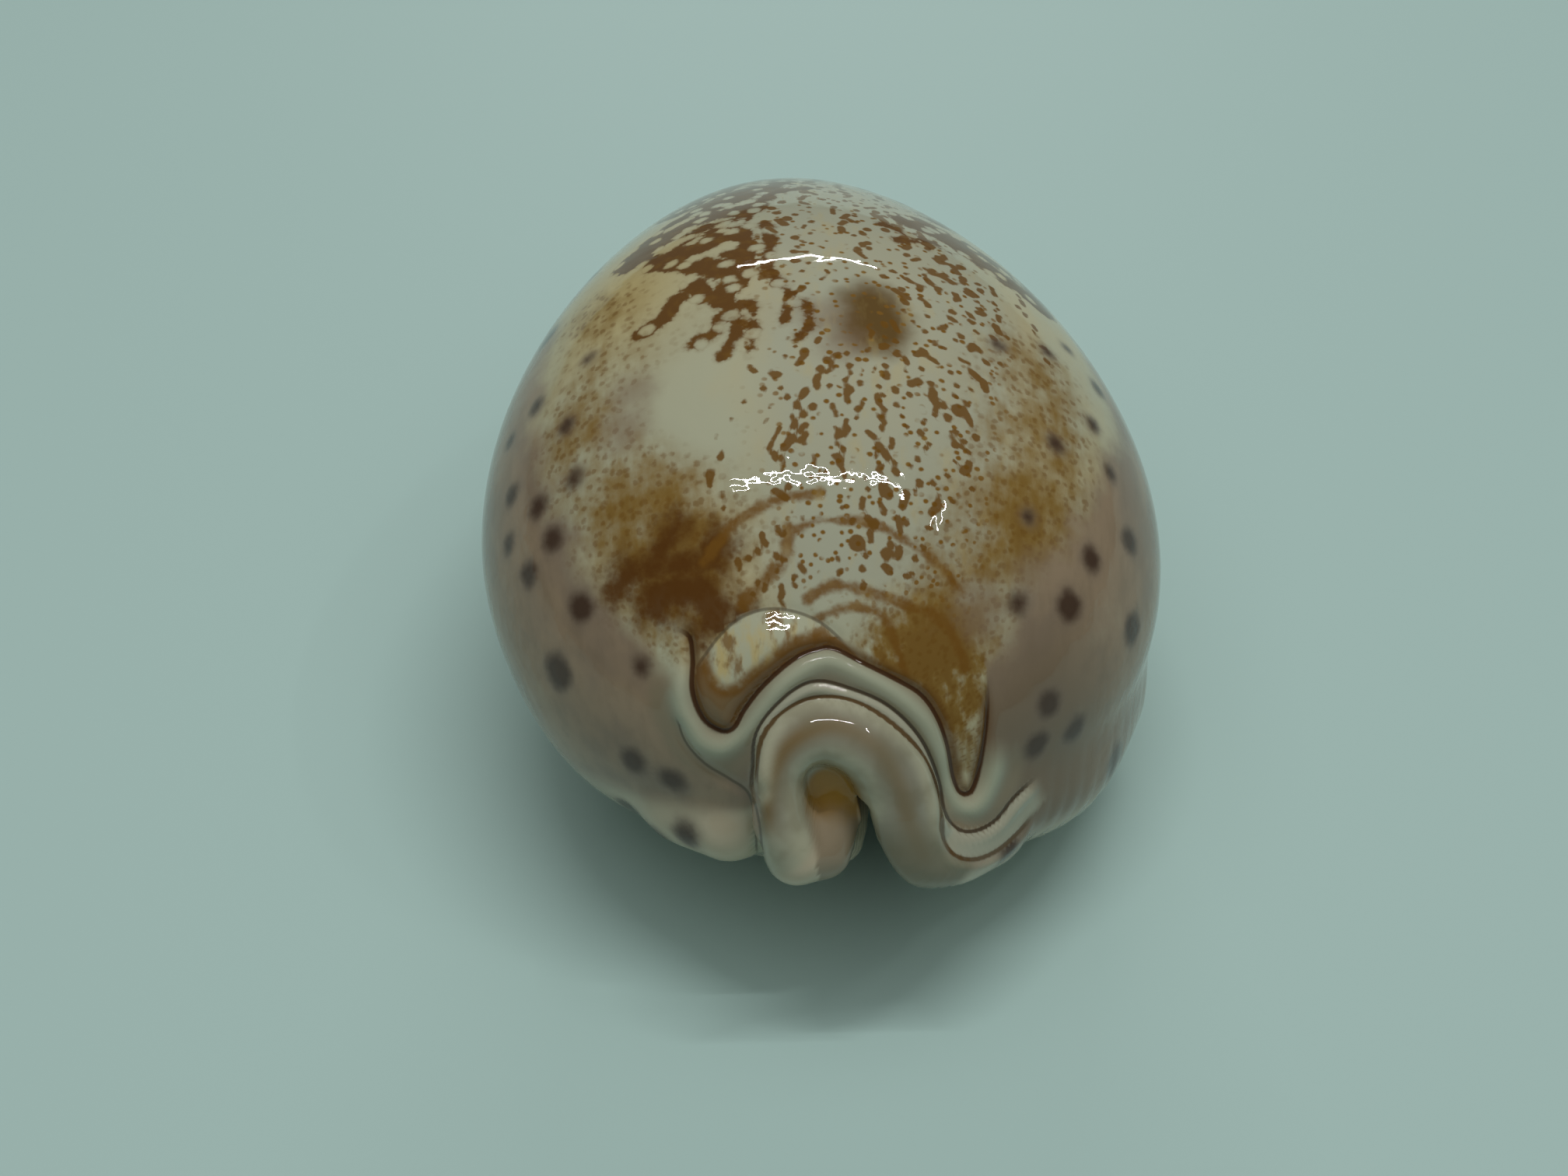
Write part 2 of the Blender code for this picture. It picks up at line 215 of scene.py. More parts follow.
def body(n):
    """The shell without its lips: unit directions n to points of the resting shell."""
    nx, ny, nz = n[..., 0], n[..., 1], n[..., 2]
    waist = ny ** 2 - 1 / 3
    middle = np.clip(1 - ny ** 2, 0, 1)
    half_width = HALF_WIDTH * (1 + WIDTH_TAPER * ny + WIDTH_WAIST * waist)
    height = HEIGHT * (1 + HEIGHT_TAPER * ny + HEIGHT_WAIST * waist)
    top = 0.5 * (1 + np.tanh(nz / WIDEST_ROUNDING))
    share = (1 - BASE_SHARE) * top + BASE_SHARE * (1 - top)
    x = half_width * nx + LEAN_X * ny + BEND_X * waist
    x = x + APERTURE_SHIFT * np.clip(-nz, 0, 1) ** 2 * middle
    y = HALF_LENGTH * ny
    z = height * share * nz * (1 - BASE_FLATNESS * (1 - top) * nz ** 2) + LEAN_Z * ny
    bulge = bell(nx, INNER_BULGE_WIDTH, INNER_BULGE_AT) * middle ** 1.5
    z = z - INNER_BULGE * bulge * (1 - top)
    return np.stack([x, y, z], -1) @ REST.T


def body_normals(n, step=1e-4):
    """Outward normals of body() at the unit directions n."""
    helper = np.where(np.abs(n[..., 2:]) < STEEP, [0.0, 0.0, 1.0], [1.0, 0.0, 0.0])
    a = unit(np.cross(n, helper))
    b = np.cross(n, a)
    across = body(n + step * a) - body(n - step * a)
    along = body(n + step * b) - body(n - step * b)
    out = unit(np.cross(across, along))
    return out * np.sign(np.sum(out * n, -1, keepdims=True))


def slit_directions(theta, m, gap):
    """Unit directions around the slit: m = 0 on the slit, large m towards the crown.

    In the plane that the sphere is projected on, the curves of constant m are ellipses round
    the slit, so the grid stays even from the slit to the crown.
    """
    bend = CANAL_SHIFT * smooth(np.cos(theta), CANAL_FROM, CANAL_TO)
    tip = smooth(np.cos(theta), TIP_FROM, 1.0)
    fade = bell(m, CANAL_FADE)
    p = np.cosh(m) * np.cos(theta) + fade * TIP_RISE * tip
    q = np.sinh(m) * np.sin(theta) + np.exp(-m / GAP_FADE) * gap + fade * (bend - TIP_BACK * tip)
    r2 = p * p + q * q
    return np.stack([2 * q, -2 * p, r2 - 1], -1) / (1 + r2)[..., None]


def end_frame(sign, lean):
    """Origin and axes u, v, h of an end: sign -1 is the rear end, +1 the front end."""
    pole = body(np.array([0.0, sign, 0.0]))
    lean = math.radians(lean)
    u = np.array([1.0, 0.0, 0.0])
    v = np.array([0.0, -sign * math.sin(lean), math.cos(lean)])
    h = np.array([0.0, sign * math.cos(lean), math.sin(lean)])
    return pole, u, v, h


def spline(nodes, steps=SPLINE_STEPS):
    """A smooth run of nodes through the given ones (Catmull-Rom), some steps to each stretch."""
    knots = np.array(nodes, float)
    knots = np.vstack([2 * knots[0] - knots[1], knots, 2 * knots[-1] - knots[-2]])
    run = []
    for a, b, c, d in zip(knots[:-3], knots[1:-2], knots[2:-1], knots[3:]):
        for t in np.arange(steps) / steps:
            second = (2 * a - 5 * b + 4 * c - d) * t ** 2
            third = (3 * b - a - 3 * c + d) * t ** 3
            run.append((2 * b + (c - a) * t + second + third) / 2)
    run.append(knots[-2])
    return np.array(run)


def tubes(nodes, axes):
    """Tapering tubes along the crest of a swelling: end centres and radii of each."""
    pole, u, v, h = axes
    run = spline(nodes)
    centres = pole + run[:, :1] * u + run[:, 1:2] * v + (run[:, 2:3] - run[:, 3:]) * h
    return list(zip(centres[:-1], centres[1:], run[:-1, 3], run[1:, 3]))


def tube_distance(points, chain):
    """Distance from the points to a chain of tapering tubes, negative inside."""
    nearest = np.full(points.shape[:-1], np.inf)
    for a, b, radius_a, radius_b in chain:
        ab = b - a
        t = np.clip((points - a) @ ab / (ab @ ab), 0, 1)
        gap = np.linalg.norm(points - a - t[..., None] * ab, axis=-1)
        nearest = np.minimum(nearest, gap - radius_a - (radius_b - radius_a) * t)
    return nearest


def smooth_min(a, b, blend):
    """The smaller of two distances, with the crease between them filled over `blend`."""
    h = np.clip(0.5 + 0.5 * (b - a) / blend, 0, 1)
    return b * (1 - h) + a * h - blend * h * (1 - h)


def swell(points, normals, sign, lean, swellings):
    """Push points of the body outwards, away from a core, onto the swellings of one end.

    Each point's ray is followed inwards from outside until it meets the body or a tube.
    """
    axes = end_frame(sign, lean)
    rays = unit(points - np.array([0.0, sign * CORE_Y, CORE_Z]))
    steepness = np.clip(np.sum(rays * normals, -1), SWELL_SLOPE, 1)
    chains = [(tubes(nodes, axes), blend) for nodes, blend in swellings]
    t = np.full(points.shape[:-1], SWELL_REACH)
    for _ in range(SWELL_STEPS):
        here = points + rays * t[..., None]
        distance = t * steepness
        for chain, blend in chains:
            distance = smooth_min(distance, tube_distance(here, chain), blend)
        t = t - SWELL_STRIDE * distance
    return points + rays * t[..., None]


# --- rear end ---
REAR_DEPTH = 16  # how far in from the rear tip its features reach
REAR_DEPTH_LOW = 8  # the same for those low down
REAR_SIDE = 20  # they lie within this of the middle, and between these heights
REAR_LOW = -9
REAR_HIGH = 22
DOME_HEIGHT = 0.45  # how far the spire's dome stands out under its upper edge
RELIEF = [  # line, how far beside it, half width, height
    ("bead", 0.1, 0.8, 0.45),
    ("groove_out", -0.5, 0.38, 0.3),
    ("groove_out", 0.0, 0.2, -0.16),
    ("groove_in", -0.42, 0.36, 0.2),
    ("groove_in", 0.0, 0.18, -0.12),
    ("suture", 0.0, 0.3, -0.4),
    ("crease", 0.0, 0.4, -0.22),
    ("dome_edge", 0.1, 0.28, -0.14),
]
REAR_LINES = {  # crests and grooves, as (u, v) in the frame of the rear end
    "suture": [
        (-10.3, 12.0), (-9.4, 11.4), (-9.2, 10.0), (-9.2, 7.9), (-8.8, 6.4), (-8.1, 5.4),
        (-7.1, 4.9), (-6.3, 5.2), (-5.6, 6.4), (-4.3, 8.0), (-2.3, 9.7), (-0.6, 10.4), (0.5, 10.4),
        (2.3, 9.5), (4.7, 8.3), (6.4, 7.3), (7.5, 5.9), (8.3, 4.0), (8.9, 1.6), (9.5, 0.5),
        (10.4, 0.7), (11.0, 2.9), (11.3, 5.9), (11.0, 8.7),
    ],
    "bead": [
        (-10.0, 10.2), (-10.0, 7.2), (-9.3, 5.4), (-8.4, 4.2), (-7.0, 3.8), (-5.7, 4.7),
        (-4.1, 6.6), (-2.8, 8.1), (-0.9, 9.3), (0.4, 9.4), (2.2, 8.6), (4.6, 7.2), (6.5, 5.5),
        (7.6, 3.5), (8.2, 1.1), (9.2, -0.4), (10.7, -0.4), (11.8, 1.6), (12.4, 4.5),
    ],
    "groove_out": [
        (-5.2, 0.6), (-5.1, 2.2), (-4.9, 4.3), (-4.1, 6.0), (-2.4, 7.6), (-0.8, 8.2), (1.2, 7.8),
        (4.0, 6.6), (6.3, 4.4), (7.6, 1.7), (8.1, -0.6), (9.2, -2.0), (10.6, -2.2), (12.2, -1.5),
        (13.6, 0.1), (15.5, 1.7),
    ],
    "groove_in": [
        (-4.7, 0.8), (-4.6, 2.5), (-4.2, 4.4), (-3.0, 6.1), (-1.4, 7.0), (0.6, 7.1), (2.6, 6.4),
        (4.7, 4.9), (6.5, 2.9), (7.4, 0.3), (7.9, -2.2), (8.8, -3.7), (10.4, -4.2), (12.3, -3.7),
        (14.1, -2.4), (15.4, -1.0),
    ],
    "dome_edge": [
        (-9.0, 9.0), (-8.3, 10.0), (-7.2, 11.4), (-5.9, 12.5), (-4.1, 13.1), (-2.2, 12.9),
        (-0.4, 12.1), (1.3, 10.6),
    ],
    "crease": [
        (-10.2, 6.0), (-9.7, 4.3), (-8.4, 2.7), (-6.7, 1.6), (-5.4, 0.6), (-4.8, -1.5),
        (-4.6, -4.0),
    ],
    "collar_line": [
        (-4.4, -1.6), (-4.0, 1.4), (-2.7, 3.9), (0.0, 5.2), (2.9, 4.0), (4.6, 1.4), (5.6, -1.6),
        (6.6, -3.6),
    ],
    "limb_inner": [
        (-0.9, -3.8), (-1.6, -0.7), (-1.5, 1.5), (-0.5, 2.5), (0.8, 2.4), (2.0, 1.3), (2.6, -0.3),
    ],
    "hook": [
        (-8.4, 10.6), (-8.1, 9.0), (-7.3, 7.9), (-6.2, 7.8), (-5.1, 8.6), (-3.8, 9.6),
        (-2.0, 10.9), (0.0, 11.2),
    ],
}

# --- markings: strokes are (radius, [(lon, lat), ...]), spots are (lon, lat, radius) ---
NETWORK = [
    (1.9, [(-42, 12), (-36, 17), (-30, 22), (-24, 26), (-17, 30)]),
    (1.7, [(-33, 7), (-28, 9), (-23, 10), (-20, 6)]),
    (1.4, [(-30, 15), (-24, 18), (-18, 19)]),
    (1.2, [(-36, 8), (-31, 5), (-25, 2), (-21, 0)]),
    (1.1, [(-20, 10), (-19, 3), (-20, -2), (-22, -6)]),
    (0.9, [(-29, 3), (-27, -2), (-25, -5)]),
    (0.7, [(-30, -4), (-32, -7), (-36, -9)]),
    (0.7, [(-20, 14), (-16, 21), (-12, 27), (-6, 29)]),
    (0.55, [(-27, -14), (-24, -13), (-22, -10), (-19, -8)]),
    (0.45, [(-22, -17), (-20, -14), (-20, -10), (-22, -6)]),
    (0.35, [(-17, -8), (-17, -14), (-18, -17)]),
    (0.5, [(-15, 12), (-14, 6), (-15, 0), (-13, -4)]),
    (0.35, [(-15, 0), (-12, -4), (-11, -8), (-12, -12)]),
    (0.4, [(-9, -8), (-8, -12), (-10, -15)]),
    (1.5, [(14, 18), (21, 16), (26, 13), (32, 10), (41, 8)]),
    (1.1, [(18, 20), (31, 16), (45, 12)]),
    (0.4, [(8, 14), (12, 12), (16, 12), (20, 10)]),
    (0.4, [(9, 9), (12, 10), (15, 9)]),
    (1.9, [(-38, 29), (-31, 33), (-27, 38)]),
    (1.2, [(-27, 38), (-20, 43), (-16, 50)]),
    (0.9, [(-14, 30), (-11, 36), (-13, 41)]),
    (1.0, [(-37, 41), (-31, 47), (-27, 53)]),
    (1.8, [(26, 26), (33, 31), (37, 37)]),
    (1.1, [(22, 34), (26, 41), (24, 48)]),
    (0.8, [(36, 43), (33, 50)]),
    (0.6, [(12, 36), (15, 42), (12, 48)]),
    (0.6, [(-3, 36), (1, 41), (-1, 46)]),
]
ISLANDS = [  # cream gaps in the network
    (0.62, [(-28, 5), (-24, 6), (-21, 7)]),
    (0.35, [(-26, 16), (-22, 16)]),
    (0.3, [(-29, 10), (-27, 12)]),
    (0.3, [(-20, 13), (-19, 15)]),
    (0.5, [(-36, 19), (-32, 21)]),
    (0.4, [(-33, 14), (-29, 16)]),
    (0.35, [(-23, 12), (-21, 11)]),
    (0.5, [(-34, 3), (-30, 1), (-28, 0)]),
]
SPECKLE_STRINGS = [  # from lon, lat to lon, lat, number, radius
    (-15, 12, -18, -26, 9, 0.3), (-11, -15, -13, -36, 14, 0.27), (-14, -22, -15, -34, 7, 0.24),
    (-8, -13, -8, -35, 16, 0.29), (-4, -18, -4, -36, 18, 0.23), (-1, -18, -2, -34, 12, 0.26),
    (2, -12, 2, -36, 10, 0.22), (4, -12, 4, -40, 17, 0.28), (8, 0, 6, -41, 24, 0.28),
    (12, 2, 10, -38, 24, 0.29), (16, 2, 14, -40, 22, 0.29), (19, 6, 17, -30, 16, 0.27),
    (22, 6, 18, -38, 18, 0.28), (27, 4, 24, -16, 10, 0.26), (-12, 20, -10, -8, 14, 0.32),
    (-8, 22, -6, -4, 12, 0.26), (-4, 24, 3, 2, 12, 0.28), (2, 22, 6, -2, 12, 0.3),
    (6, 20, 12, 2, 12, 0.34), (10, 20, 18, 4, 12, 0.3), (14, 12, 25, -8, 14, 0.32),
    (32, 6, 34, -8, 8, 0.28), (-6, 26, -10, 60, 20, 0.34), (-1, 26, -3, 62, 18, 0.3),
    (4, 24, 2, 62, 22, 0.32), (12, 24, 14, 60, 20, 0.34), (-18, 34, -20, 62, 12, 0.38),
    (20, 26, 19, 62, 14, 0.32), (27, 24, 26, 58, 12, 0.36), (-2, -37, -3, -50, 7, 0.24),
    (2, -38, 3, -52, 7, 0.26), (7, -40, 8, -49, 6, 0.28), (12, -40, 12, -50, 5, 0.26),
    (-12, -38, -10, -43, 4, 0.24), (-26, -40, -22, -28, 8, 0.22), (-24, -49, -14, -44, 8, 0.22),
    (-22, -53, -13, -47, 9, 0.22), (-19, -57, -11, -50, 8, 0.2), (-24, 40, -30, 62, 9, 0.34),
]
BIG_SPECKLES = [
    (0, -46, 0.6), (6, -47, 0.45), (3, -43, 0.4), (16, -24, 0.6), (18, -33, 0.4), (-14, -2, 0.7),
]
ARCS = [
    (0.34, [(-31, -47), (-27, -45), (-22, -42), (-15, -40), (-7, -39)]),
    (0.26, [(-13, -45), (-8, -43), (3, -43), (10, -45), (17, -47), (24, -50)]),
    (0.42, [(-13, -44), (-14, -48), (-19, -51), (-25, -54)]),
    (0.34, [(-10, -54), (-4, -52), (6, -53), (14, -54), (20, -54), (28, -57), (34, -60)]),
    (0.24, [(-8, -57), (0, -55), (8, -56), (13, -60), (19, -64)]),
]
UMBER = [
    (0.9, [(-52, -46), (-46, -45), (-39, -46), (-32, -47), (-27, -45)]),
    (1.3, [(-44, -50), (-38, -50), (-33, -51), (-32, -55)]),
    (0.7, [(-39, -44), (-34, -41)]),
    (0.5, [(-36, -56), (-30, -57), (-26, -55)]),
]
OCHRE = [  # lon, lat, radius, strength
    (-46, -33, 5.5, 0.72), (-40, -29, 4.0, 0.2), (-27, -26, 4.0, -0.35), (-52, -20, 3.8, 0.8),
    (-50, -12, 3.5, 0.25), (-38, -43, 5.5, 0.8), (-30, -45, 4.5, 0.55), (-42, -17, 3.5, 0.3),
    (-33, -38, 4.0, 0.2), (34, -30, 5.5, 0.75), (36, -38, 4.5, 0.5), (30, -41, 5.5, 0.6),
    (24, -47, 4.5, 0.45), (29, -20, 5.0, 0.55), (34, -12, 4.0, 0.45), (-44, -7, 3.0, 0.3),
    (-36, -13, 3.0, 0.2), (-30, -8, 3.0, 0.15), (-48, 0, 4.0, 0.4), (27, -10, 4.0, 0.35),
    (20, -57, 3.2, 0.8), (28, -58, 3.5, 0.7), (14, -58, 3.0, 0.5), (-20, -11, 3.0, 0.35),
    (30, -63, 3.5, 0.9), (45, -66, 3.0, 0.9), (16, -62, 2.5, 0.6), (-42, -52, 3.2, 0.8),
    (-46, 2, 4.5, 0.35), (-34, 40, 7.0, 0.6), (34, 36, 7.0, 0.6),
]
SMUDGE = [(2, -8, 2.6), (2, -12, 3.2)]
MAUVE = [
    (-6, -11, 1.8), (-3, -16, 1.6), (-40, -24, 1.8), (-38, -19, 1.6), (40, -44, 2.2),
    (30, -51, 2.0),
]
MARGIN_SPOTS = [
    (-47, -9, 0.6), (-60, -11, 0.9), (-52, -19, 0.8), (-69, -12, 0.8), (-52, -28, 0.9),
    (-69, -22, 1.0), (-62, -28, 1.0), (-61, -34, 1.1), (-74, -28, 0.9), (-71, -35, 1.1),
    (-62, -45, 1.2), (-81, -48, 1.5), (-58, -57, 0.8), (-95, -63, 1.2), (-98, -69, 1.2),
    (49, -5, 0.9), (44, -15, 0.8), (35, -23, 0.8), (49, -21, 0.8), (32, -36, 0.6), (58, -28, 1.2),
    (49, -36, 1.1), (49, -44, 1.3), (71, -37, 1.4), (65, -56, 1.2), (82, -53, 1.2), (78, -60, 1.2),
    (35, -6, 0.6), (42, -1, 0.6), (24, -10, 0.6), (37, -48, 0.9),
]
BASE_SPOTS = [
    (-120, -5, 1.3), (-125, -15, 1.9), (-140, -18, 1.1), (-124, -22, 1.4), (-131, -28, 1.8),
    (-142, -26, 1.2), (-114, -16, 1.0), (-108, -30, 1.3), (-126, -39, 1.9), (-134, -46, 1.5),
    (-150, -38, 1.0), (-160, -40, 0.6), (-170, -47, 0.7), (-152, -48, 1.0), (-164, -55, 0.7),
    (-127, -55, 1.5), (-133, -60, 1.3), (-128, -68, 1.1), (129, -44, 0.9), (134, -54, 1.1),
    (148, -42, 0.5), (124, -59, 1.1), (114, -64, 1.0), (118, -32, 1.0), (107, -41, 1.5),
]
FRONT_SPOT_ROWS = [(62, 5), (74, 7), (88, 7), (102, 6), (118, 5)]  # lon and number, either side
FRONT_SPOTS_FROM = 4  # latitude
FRONT_SPOTS_SPAN = 60
LEFT_MARGIN = (58, 0.16, -15, 60)  # longitude of the edge, and how much it narrows by the degree
RIGHT_MARGIN = (49, 0.4, -12, 30)  # behind this latitude, for this many degrees
FRONT_MARGIN = 20  # latitude where the margins begin to close round the front end
FRONT_MARGIN_END = 68  # latitude where they meet
DASHES = [0.1, 0.5, 1.1, 2.0]  # lengths of the speckles, in degrees of latitude
DASH_SHARES = [0.5, 0.25, 0.17, 0.08]  # and how common each is
LON_PER_LAT = 1.4  # degrees of longitude as long as one of latitude, about
MM_PER_LON = 0.38  # millimetres to a degree, about, over the back
MM_PER_LAT = 0.55


# --- geometry ---
def column_count(theta, outer, inner, fan_rear, fan_front):
    """Running count of the columns up to each theta."""
    middle = (theta[1:] + theta[:-1]) / 2
    slit = body(slit_directions(theta, 0.0, 0.0))
    speed = np.linalg.norm(np.diff(slit, axis=0), axis=-1) / np.diff(theta)
    spacing = np.where(middle < math.pi, outer, inner)
    fan = (fan_rear + fan_front) / 2 + (fan_rear - fan_front) / 2 * np.cos(middle)
    return np.concatenate([[0], np.cumsum(np.hypot(speed / spacing, fan) * np.diff(theta))])


def fine_columns():
    """Angle theta of the fine columns, and the number of the CAD model's column at each."""
    theta = np.linspace(0, 2 * math.pi, THETA_STEPS + 1)
    half = THETA_STEPS // 2
    coarse = column_count(theta, *CAD_COLUMNS)
    outer = 2 * round(coarse[half] / 2)
    inner = outer + (coarse - coarse[half]) * 2
    number = np.where(theta < math.pi, coarse * outer / coarse[half], inner)
    fine = column_count(theta, *FINE_COLUMNS)
    total = round(fine[-1])
    angles = np.interp(np.arange(total + 1), fine * total / fine[-1], theta)
    return angles, np.interp(angles, theta, number)


def teeth(theta, number):
    """Height of the teeth along both lips, 0 to 1 on the outer lip and weaker on the inner."""
    slit = body(slit_directions(theta, 0.0, 0.0))
    length = np.concatenate([[0], np.cumsum(np.linalg.norm(np.diff(slit, axis=0), axis=-1))])
    front = length[np.argmin(np.abs(theta - math.pi))]
    from_canal = np.minimum(np.abs(front - length), np.minimum(length, length[-1] - length))
    wave = 0.5 - 0.5 * np.cos(math.pi * number)
    return wave * smooth(from_canal, TEETH_FROM, TEETH_FROM + TEETH_FADE)


def polyline(points, knots):
    """Signed distance of 2-D points from a smooth line through the knots, and the way along it."""
    line = spline(knots, LINE_STEPS)
    best = np.full(len(points), np.inf)
    signed = np.zeros(len(points))
    way = np.zeros(len(points))
    for index, (a, b) in enumerate(zip(line[:-1], line[1:])):
        ab = b - a
        t = np.clip((points - a) @ ab / (ab @ ab), 0, 1)
        away = points - a - t[:, None] * ab
        gap = np.hypot(away[:, 0], away[:, 1])
        nearer = gap < best
        side = ab[0] * away[:, 1] - ab[1] * away[:, 0]
        best[nearer] = gap[nearer]
        signed[nearer] = (gap * np.sign(side))[nearer]
        way[nearer] = ((index + t) / (len(line) - 1))[nearer]
    return signed, way


def grid_normals(points):
    """Outward normals of a grid of points closed along its first axis."""
    ring = points[:-1]
    across = np.roll(ring, -1, axis=0) - np.roll(ring, 1, axis=0)
    along = np.gradient(ring, axis=1)
    out = np.cross(across, along)
    out /= np.maximum(np.linalg.norm(out, axis=-1, keepdims=True), 1e-12)
    out = np.concatenate([out, out[:1]])
    centre = ring.reshape(-1, 3).mean(axis=0)
    facing = np.sign(np.sum(out * (points - centre), axis=-1).mean())
    return out * facing


def rear_relief(points, marks):
    """How far the thin ridges, the bead and the grooves of the rear end stand out, in mm.

    Adds the distances to its lines to marks, which the shader reads.
    """
    pole, u, v, h = end_frame(-1, REAR_LEAN)
    local = (points - pole).reshape(-1, 3)
    flat = np.stack([local @ u, local @ v], -1)
    depth = REAR_DEPTH_LOW + (REAR_DEPTH - REAR_DEPTH_LOW) * smooth(flat[:, 1], -2, 6)
    end = smooth(local @ h + depth, 0, 3)
    near = (end > 0) & (np.abs(flat[:, 0]) <= REAR_SIDE)
    near = near & (flat[:, 1] <= REAR_HIGH) & (flat[:, 1] >= REAR_LOW)
    shape = points.shape[:-1]
    marks["rise"] = flat[:, 1].reshape(shape)
    marks["across"] = flat[:, 0].reshape(shape)
    marks["rear_end"] = end.reshape(shape)
    for name, knots in REAR_LINES.items():
        signed = np.full(len(flat), FAR)
        way = np.zeros(len(flat))
        signed[near], way[near] = polyline(flat[near], knots)
        marks[name] = signed.reshape(shape)
        ends = smooth(way, 0.0, 0.05) * smooth(way, 1.0, 0.95) * end
        marks[name + "_end"] = ends.reshape(shape)
    dome = smooth(-marks["dome_edge"], 0.0, 2.4) * smooth(marks["suture"], 0.0, 1.6)
    dome = dome * smooth(-marks["dome_edge"], 6.5, 4.0) * marks["rear_end"]
    relief = DOME_HEIGHT * dome
    for name, offset, width, height in RELIEF:
        relief = relief + height * marks[name + "_end"] * bell(marks[name], width, offset)
    return relief


def fine_surface():
    """The shell's fine grid: positions, body points and directions, and the marks' distances."""
    theta, number = fine_columns()
    pattern = teeth(theta, number)
    angle = theta[:, None]
    side = np.sin(angle)

    fine = np.linspace(0, 1, COURSE_STEPS) ** COURSE_CROWDING * CROWN
    course = body(slit_directions(angle, fine[None, :], 0.0))
    reach = np.cumsum(np.linalg.norm(np.diff(course, axis=1), axis=-1), axis=1)
    reach = np.hstack([np.zeros((len(theta), 1)), reach])

    half_gap = GAP_HALF_END + (GAP_HALF - GAP_HALF_END) * smooth(np.abs(side), *GAP_WIDENS)
    reach_in = TOOTH_REACH * np.where(side > 0, 1.0, INNER_TOOTH_SHARE)
    half_gap = half_gap - reach_in * pattern[:, None]
    gap = half_gap / (2 * HALF_WIDTH) * (1 + np.cos(angle) ** 2) * np.tanh(side / SIDE_TURN)
    drop = np.where(side > 0, DROP_OUTER, DROP_INNER)
    drop = DROP_END + (drop - DROP_END) * smooth(np.abs(side), *DROP_GROWS)

    def surface(fractions):
        """Directions, body points, normals and distances from the slit."""
        distance = fractions * reach[:, -1:]
        m = np.stack([np.interp(d, r, fine) for d, r in zip(distance, reach)])
        n = slit_directions(angle, m, gap)
        return n, body(n), body_normals(n), distance

    from_rear = np.minimum(angle, 2 * math.pi - angle)
    crowding = REAR_CROWDING * bell(from_rear, REAR_CROWDING_TURN)
    share = np.linspace(0, 1, COURSE_STEPS)[None, :]
    count = share + crowding * (1 - np.exp(-share / REAR_CROWDING_REACH))
    rows = np.linspace(1, 0, FINE_ROWS + 1)
    fractions = np.stack([np.interp(rows * c[-1], c, share[0]) for c in count])
    directions, base, normals, distance = surface(fractions)
    points = base.copy()
    rear = points[..., 1] < -SWELL_START
    points[rear] = swell(points[rear], normals[rear], -1, REAR_LEAN, REAR_SWELLINGS)
    front = points[..., 1] > SWELL_START
    points[front] = swell(points[front], normals[front], 1, FRONT_LEAN, FRONT_SWELLINGS)
    marks = {}
    relief = rear_relief(points, marks)
    swollen = grid_normals(points)
    sunk = np.clip(1 - distance / drop, 0, 1)
    lowering = drop * (1 - np.sqrt(1 - sunk ** 2))
    height = np.where(side > 0, TOOTH_HEIGHT, INNER_TOOTH_HEIGHT)
    raising = height * pattern[:, None] * bell(distance, TOOTH_LENGTH)
    outer = points + normals * (raising - lowering)[..., None] + swollen * relief[..., None]

    start = LIP_TURN / reach[:, -1].max()
    inner_rows = start + (1 - start) * np.linspace(0, 1, FINE_INNER_ROWS + 1) ** ROW_CROWDING
    n, under, normals, depth_from = surface(inner_rows[None, :])
    depth = WALL + WALL_LIP * bell(depth_from, WALL_SPREAD)
    depth = depth + COLUMELLA * np.clip(-side, 0, 1) * bell(depth_from, COLUMELLA_SPREAD)
    inner = under - normals * depth[..., None]

    rim, inside = outer[:, -1:], inner[:, :1]
    knee = rim - normals[:, :1] * LIP_KNEE * depth[:, :1, None]
    t = (np.arange(1, FINE_LIP_ROWS) / FINE_LIP_ROWS)[None, :, None]
    lip = (1 - t) ** 2 * rim + 2 * t * (1 - t) * knee + t ** 2 * inside
    grid = np.concatenate([outer, lip, inner], axis=1)
    marks["labral"] = np.broadcast_to(side, distance.shape)
    return grid, base, directions, marks


def body_point(lon, lat):
    """The body's point in a given direction."""
    lon, lat = math.radians(lon), math.radians(lat)
    flat = math.cos(lat)
    return body(np.array([math.sin(lon) * flat, math.sin(lat), math.cos(lon) * flat]))


def body_path(places):
    """Points of the body along a smooth path through (lon, lat) places."""
    return np.array([body_point(lon, lat) for lon, lat in spline(places, PATH_STEPS)])


def stroke_distance(points, strokes):
    """Distance from the nearest stroke's edge, negative inside it."""
    nearest = np.full(points.shape[:-1], FAR)
    for radius, places in strokes:
        path = body_path(places)
        chain = [(a, b, radius, radius) for a, b in zip(path[:-1], path[1:])]
        nearest = np.minimum(nearest, tube_distance(points, chain))
    return nearest


def spot_distance(points, spots):
    """Distance from the nearest spot's edge, negative inside it."""
    nearest = np.full(points.shape[:-1], FAR)
    for lon, lat, radius in spots:
        gap = np.linalg.norm(points - body_point(lon, lat), axis=-1)
        nearest = np.minimum(nearest, gap - radius)
    return nearest


def clouds(points, places):
    """Sum of soft clouds, each a lon, lat, radius and strength."""
    total = np.zeros(points.shape[:-1])
    for lon, lat, radius, strength in places:
        gap = np.linalg.norm(points - body_point(lon, lat), axis=-1)
        total = total + strength * bell(gap, radius)
    return total


